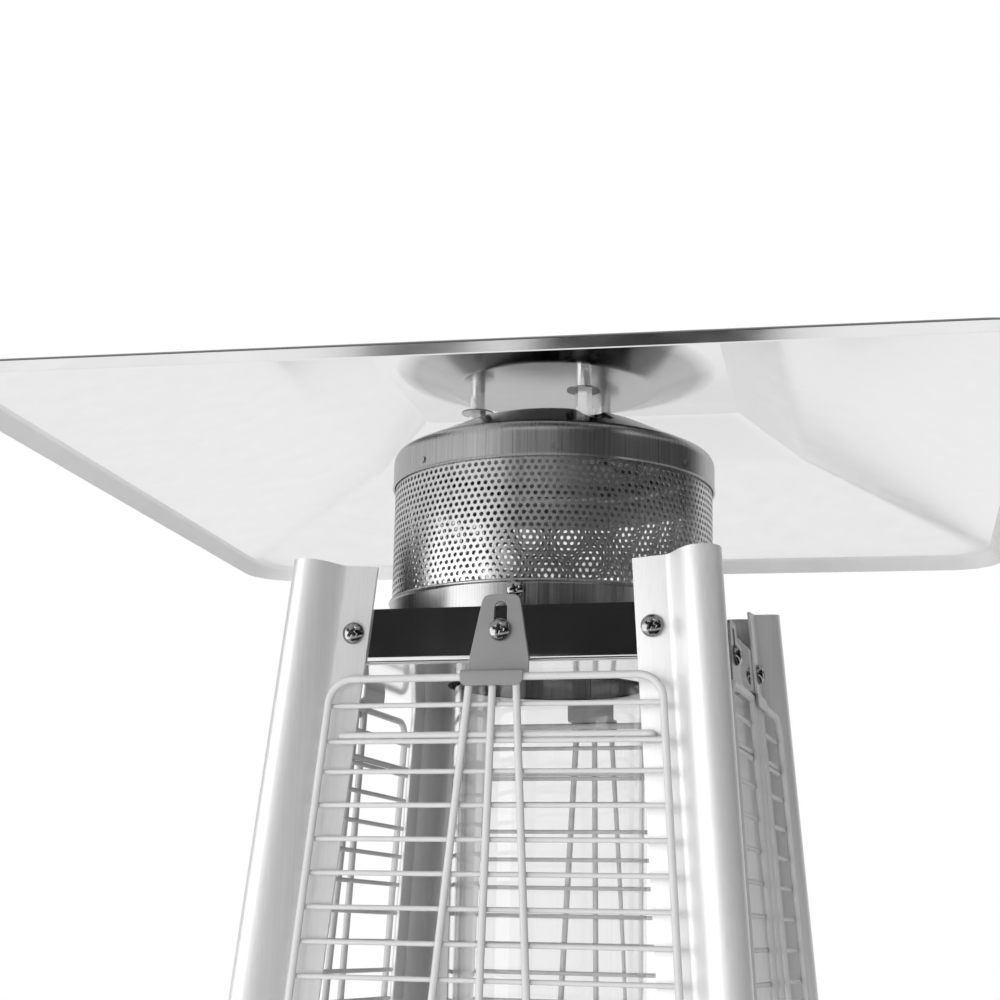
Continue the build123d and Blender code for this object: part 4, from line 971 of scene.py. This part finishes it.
def guardFrameMesh():
    s = guardSizes
    tall = (s["top"] - s["bottom"]) * hypot(1, lean)
    side = lambda rise: s["halfTop"] - s["wire"] + s["share"] * (tall - rise)
    lowHalf, highHalf, c = side(0), side(tall), s["corner"]
    verts, faces = [], []

    def add(made):
        base = len(verts)
        verts.extend(Vector(v) * mm for v in made[0])
        faces.extend(tuple(base + i for i in f) for f in made[1])

    corners = [(-lowHalf, 0), (lowHalf, 0), (highHalf, tall), (-highHalf, tall)]
    route = []
    for k, here in enumerate(corners):
        a, b, d = Vector(corners[k - 1]), Vector(here), Vector(corners[(k + 1) % 4])
        v1, v2 = (a - b).normalized(), (d - b).normalized()
        half = v1.angle(v2) / 2
        cut = c / tan(half)
        centre = b + (v1 + v2).normalized() * (c / sin(half))
        p1, p2 = b + v1 * cut - centre, b + v2 * cut - centre
        sweepAngle = p1.angle_signed(p2)
        for j in range(13):
            p = centre + Matrix.Rotation(-sweepAngle * j / 12, 2) @ p1
            route.append((p.x, p.y, s["out"]))
    add(wireAlong(route, s["wire"], closed=True))
    for k in (-1, 0, 1):
        foot, head = k * (s["fanTop"] + s["fanShare"] * tall), k * s["fanTop"]
        add(wireAlong([(foot, 0, s["out"]), (head, tall, s["out"])], s["wire"]))
    plane = s["out"] - s["wire"] + s["sink"]
    count = int((tall - s["first"] - s["corner"]) / s["pitch"]) + 1
    for row in (1, count - 2):
        rise = tall - s["first"] - row * s["pitch"]
        half = s["spacerHalf"] + lean * (tall - rise)
        y, z = rise + s["apart"] / 2, plane - s["spacer"]
        bend = eased([(-half, y, s["gap"]), (-half, y, z), (half, y, z), (half, y, s["gap"])],
                     [s["spacerBend"], s["spacerBend"]], steps=8)
        add(wireAlong(bend, s["spacer"]))
    return newMesh("guardFrame", verts, faces), tall, count


def makeGuards():
    s = guardSizes
    mesh, tall, count = guardFrameMesh()
    sizes = {"Count": count, "Pitch": s["pitch"] * mm, "First": s["first"] * mm, "Tall": tall * mm,
             "Half": (s["halfTop"] - s["wire"] / 2) * mm, "Share": s["share"], "Wire": s["cross"] * mm,
             "Out": (s["out"] - s["wire"] + s["sink"] - s["cross"]) * mm, "Apart": s["apart"] * mm}
    thing = runTree(addObject("guardWires", mesh), crossWireTree(sizes), sizes)
    for quarters, side in enumerate(sideNames):
        copy = thing.data.copy()
        copy.transform(facePlace(s["bottom"], quarters))
        settle(finishMesh("guardWires_" + side, copy, [], sharp=45), "guard_wire", "guard_" + side)
    bpy.data.objects.remove(thing)


makeGuards()
print("clips and guards made")

# materials of the CAD pieces that stay as they are

finishes = (
    (trayEnamel, ["base_tray"]),
    (blackRubber, ["feet", "wheel_left", "wheel_right", "tube_gasket"]),
    (zincSheet, ["wheel_forks", "post_feet", "hinge_brackets", "burner_deck"]),
    (nickel, ["wheel_axles", "door_pull", "hinge_pins", "valve_stem"]),
    (nickel, ["standoff_washers", "standoff_studs", "wing_nuts"]),
    (cabinetSteel, ["side_panel_right", "rear_panel", "side_panel_left", "door_panel", "control_plate"]),
    (ferrite, ["door_magnet"]),
    (blackNylon, ["control_knob", "igniter_body", "igniter_button", "tilt_switch"]),
    (turnedBrass, ["gas_valve", "gas_inlet", "gas_pipes", "jet_holder", "pilot_burner", "thermocouple"]),
    (brushedSteel, ["burner_cup", "burner_gauze", "cap_rivets"]),
    (porcelain, ["spark_electrode"]),
    (siliconeLead, ["ignition_lead"]),
    (turnedAluminium, ["standoffs", "standoff_spacers"]),
)
for material, names in finishes:
    for name in names:
        data = nodes[name].data
        data.materials.clear()
        data.materials.append(material)
print("CAD pieces dressed")

# floor, world, lights and camera

def lightPath(tree, *kinds):
    path = tree.nodes.new("ShaderNodeLightPath")
    total = path.outputs[kinds[0]]
    for kind in kinds[1:]:
        total = calc("MAXIMUM", total, path.outputs[kind])
    return total


studioSizes = {"floorHalf": 14, "floorDrop": 0.0005, "fadeFrom": 0.7, "fadeTo": 2.2, "ambient": 0.46, "steps": 24}


def flatSheet(name, spot, halfWidth, halfDepth, material):
    x, y, z = spot
    corners = [(x + halfWidth * i, y + halfDepth * j, z) for i, j in squareCorners]
    return newMesh(name, corners, [(0, 1, 2, 3)], material)


# white to the camera and in mirrors far from the object, plain paper with its shadow near it
def makeFloor():
    s = studioSizes
    material, tree, bsdf = newMaterial("floorPaper", Base_Color=linear("#F2F2F2"), Roughness=0.9)
    output = next(n for n in tree.nodes if n.type == "OUTPUT_MATERIAL")
    glow = addNode(tree, "ShaderNodeEmission", Strength=1.0)
    where = addNode(tree, "ShaderNodeTexCoord")
    far = addNode(tree, "ShaderNodeVectorMath", {0: where.outputs["Object"]}, operation="LENGTH")
    fade = addNode(tree, "ShaderNodeMapRange", {"Value": far.outputs["Value"]}, interpolation_type="SMOOTHSTEP",
                   From_Min=s["fadeFrom"], From_Max=s["fadeTo"])
    seen = calc("MULTIPLY", lightPath(tree, "Is Camera Ray", "Is Transmission Ray"), fade)
    seen = calc("MAXIMUM", seen, lightPath(tree, "Is Glossy Ray"))
    mix = addNode(tree, "ShaderNodeMixShader", {0: seen, 1: bsdf, 2: glow})
    tree.links.new(mix.outputs[0], output.inputs["Surface"])
    floor = addObject("studioFloor", flatSheet("studioFloor", (0, 0, 0), s["floorHalf"], s["floorHalf"], material))
    floor.location = (0, 0, -s["floorDrop"])


def makeWorld():
    world = bpy.data.worlds.new("studio")
    scene.world = world
    world.use_nodes = True
    tree = world.node_tree
    tree.nodes.clear()
    seen = lightPath(tree, "Is Glossy Ray", "Is Camera Ray", "Is Transmission Ray")
    strength = calc("MAXIMUM", seen, studioSizes["ambient"])
    back = addNode(tree, "ShaderNodeBackground", {"Strength": strength, "Color": (1, 1, 1, 1)})
    addNode(tree, "ShaderNodeOutputWorld", {"Surface": back})


def areaLamp(name, spot, target, width, tall, power, glossy=True):
    lamp = bpy.data.lights.new(name, "AREA")
    lamp.shape = "RECTANGLE"
    lamp.size, lamp.size_y = width, tall
    lamp.energy = power
    thing = addObject(name, lamp)
    thing.location = spot
    thing.rotation_euler = (Vector(target) - Vector(spot)).to_track_quat("-Z", "Y").to_euler()
    thing.visible_camera = thing.visible_transmission = False
    thing.visible_glossy = glossy


# dark flag bent round the object from one radius and height to another, seen only in its polished metal
def flag(name, fromAngle, toAngle, inner, outer, shade):
    material, tree, bsdf = newMaterial(name, Roughness=0.9)
    # the flag's colour is mottled darker and lighter, seen as mottled shade in the polished metal
    mottledShade = streaks(tree, (1.6, 1.6, 0.8), detail=2)
    tree.links.new(shades(mottledShade, *shade), bsdf.inputs["Base Color"])
    count = studioSizes["steps"]
    angles = [radians(fromAngle + (toAngle - fromAngle) * k / count) for k in range(count + 1)]
    loops = [[(radius * cos(a), radius * sin(a), z) for a in angles] for radius, z in (inner, outer)]
    unseen(name, newMesh(name, *loft(loops, ring=False), material))


def unseen(name, mesh):
    thing = addObject(name, mesh)
    thing.visible_camera = thing.visible_shadow = thing.visible_diffuse = thing.visible_transmission = False


# level flag above the head, darkens the middle of the near lip
def overheadFlag(name, spot, width, deep, shade):
    material = newMaterial(name, Base_Color=linear(shade), Roughness=0.9)[0]
    unseen(name, flatSheet(name, spot, width / 2, deep / 2, material))


makeFloor()
makeWorld()
areaLamp("leftPanel", (-2.3, -1.65, 2.2), (0, 0, 1.9), 2.7, 2.4, 36)
areaLamp("frontFill", (-0.5, -3.0, 1.7), (0, 0, 1.7), 1.0, 1.6, 38, glossy=False)
areaLamp("rightFill", (0.7, -2.9, 1.7), (0, 0, 1.7), 0.8, 1.6, 16, glossy=False)
areaLamp("topFill", (0.0, 0.0, 4.6), (0, 0, 2.2), 2.4, 2.4, 34, glossy=False)
areaLamp("lowFill", (0.0, -0.5, 0.1), (0, -0.1, 2.2), 2.4, 2.4, 10, glossy=False)
flag("frontFlag", -106, 50, (3.4, 1.7), (3.4, 6.0), ("#101010", "#262626"))
flag("floorFlag", -118, -64, (1.8, 0.01), (6.0, 0.01), ("#2A2A2A", "#383838"))
flag("rightFloorFlag", -64, 60, (1.2, 0.01), (6.0, 0.01), ("#141414", "#202020"))
flag("panFlag", -126, -106, (3.35, 2.7), (3.35, 3.7), ("#101010", "#262626"))
flag("backLeftFlag", 146, 188, (3.4, 1.7), (3.4, 4.0), ("#141414", "#202020"))
overheadFlag("overheadFlag", (0.0, -0.2, 3.18), 0.25, 0.5, "#2A2A2A")
overheadFlag("sideFlag", (-0.25, -0.2, 3.18), 0.12, 0.5, "#707070")

cameraSizes = {
    "spot": (0.31188, -1.18510, 1.88826), "yaw": 16.41, "pitch": 12.98, "roll": 1.19, "lens": 68.10,
    "sensor": 36.0,
}


def makeCamera():
    s = cameraSizes
    yaw, pitch, roll = (radians(s[k]) for k in ("yaw", "pitch", "roll"))
    forward = Vector((-sin(yaw) * cos(pitch), cos(yaw) * cos(pitch), sin(pitch)))
    right = Vector((cos(yaw), sin(yaw), 0))
    up = right.cross(forward)
    right2 = cos(roll) * right + sin(roll) * up
    up2 = -sin(roll) * right + cos(roll) * up
    lens = bpy.data.cameras.new("photoCamera")
    lens.lens = s["lens"]
    lens.sensor_width = s["sensor"]
    lens.clip_start = 0.05
    thing = addObject("photoCamera", lens)
    turn = Matrix((right2, up2, -forward)).transposed()
    thing.matrix_world = Matrix.Translation(s["spot"]) @ turn.to_4x4()
    scene.camera = thing


makeCamera()
scene.view_settings.view_transform = "Standard"
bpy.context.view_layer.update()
print("scene ready after", round(time.time() - started, 1), "s")
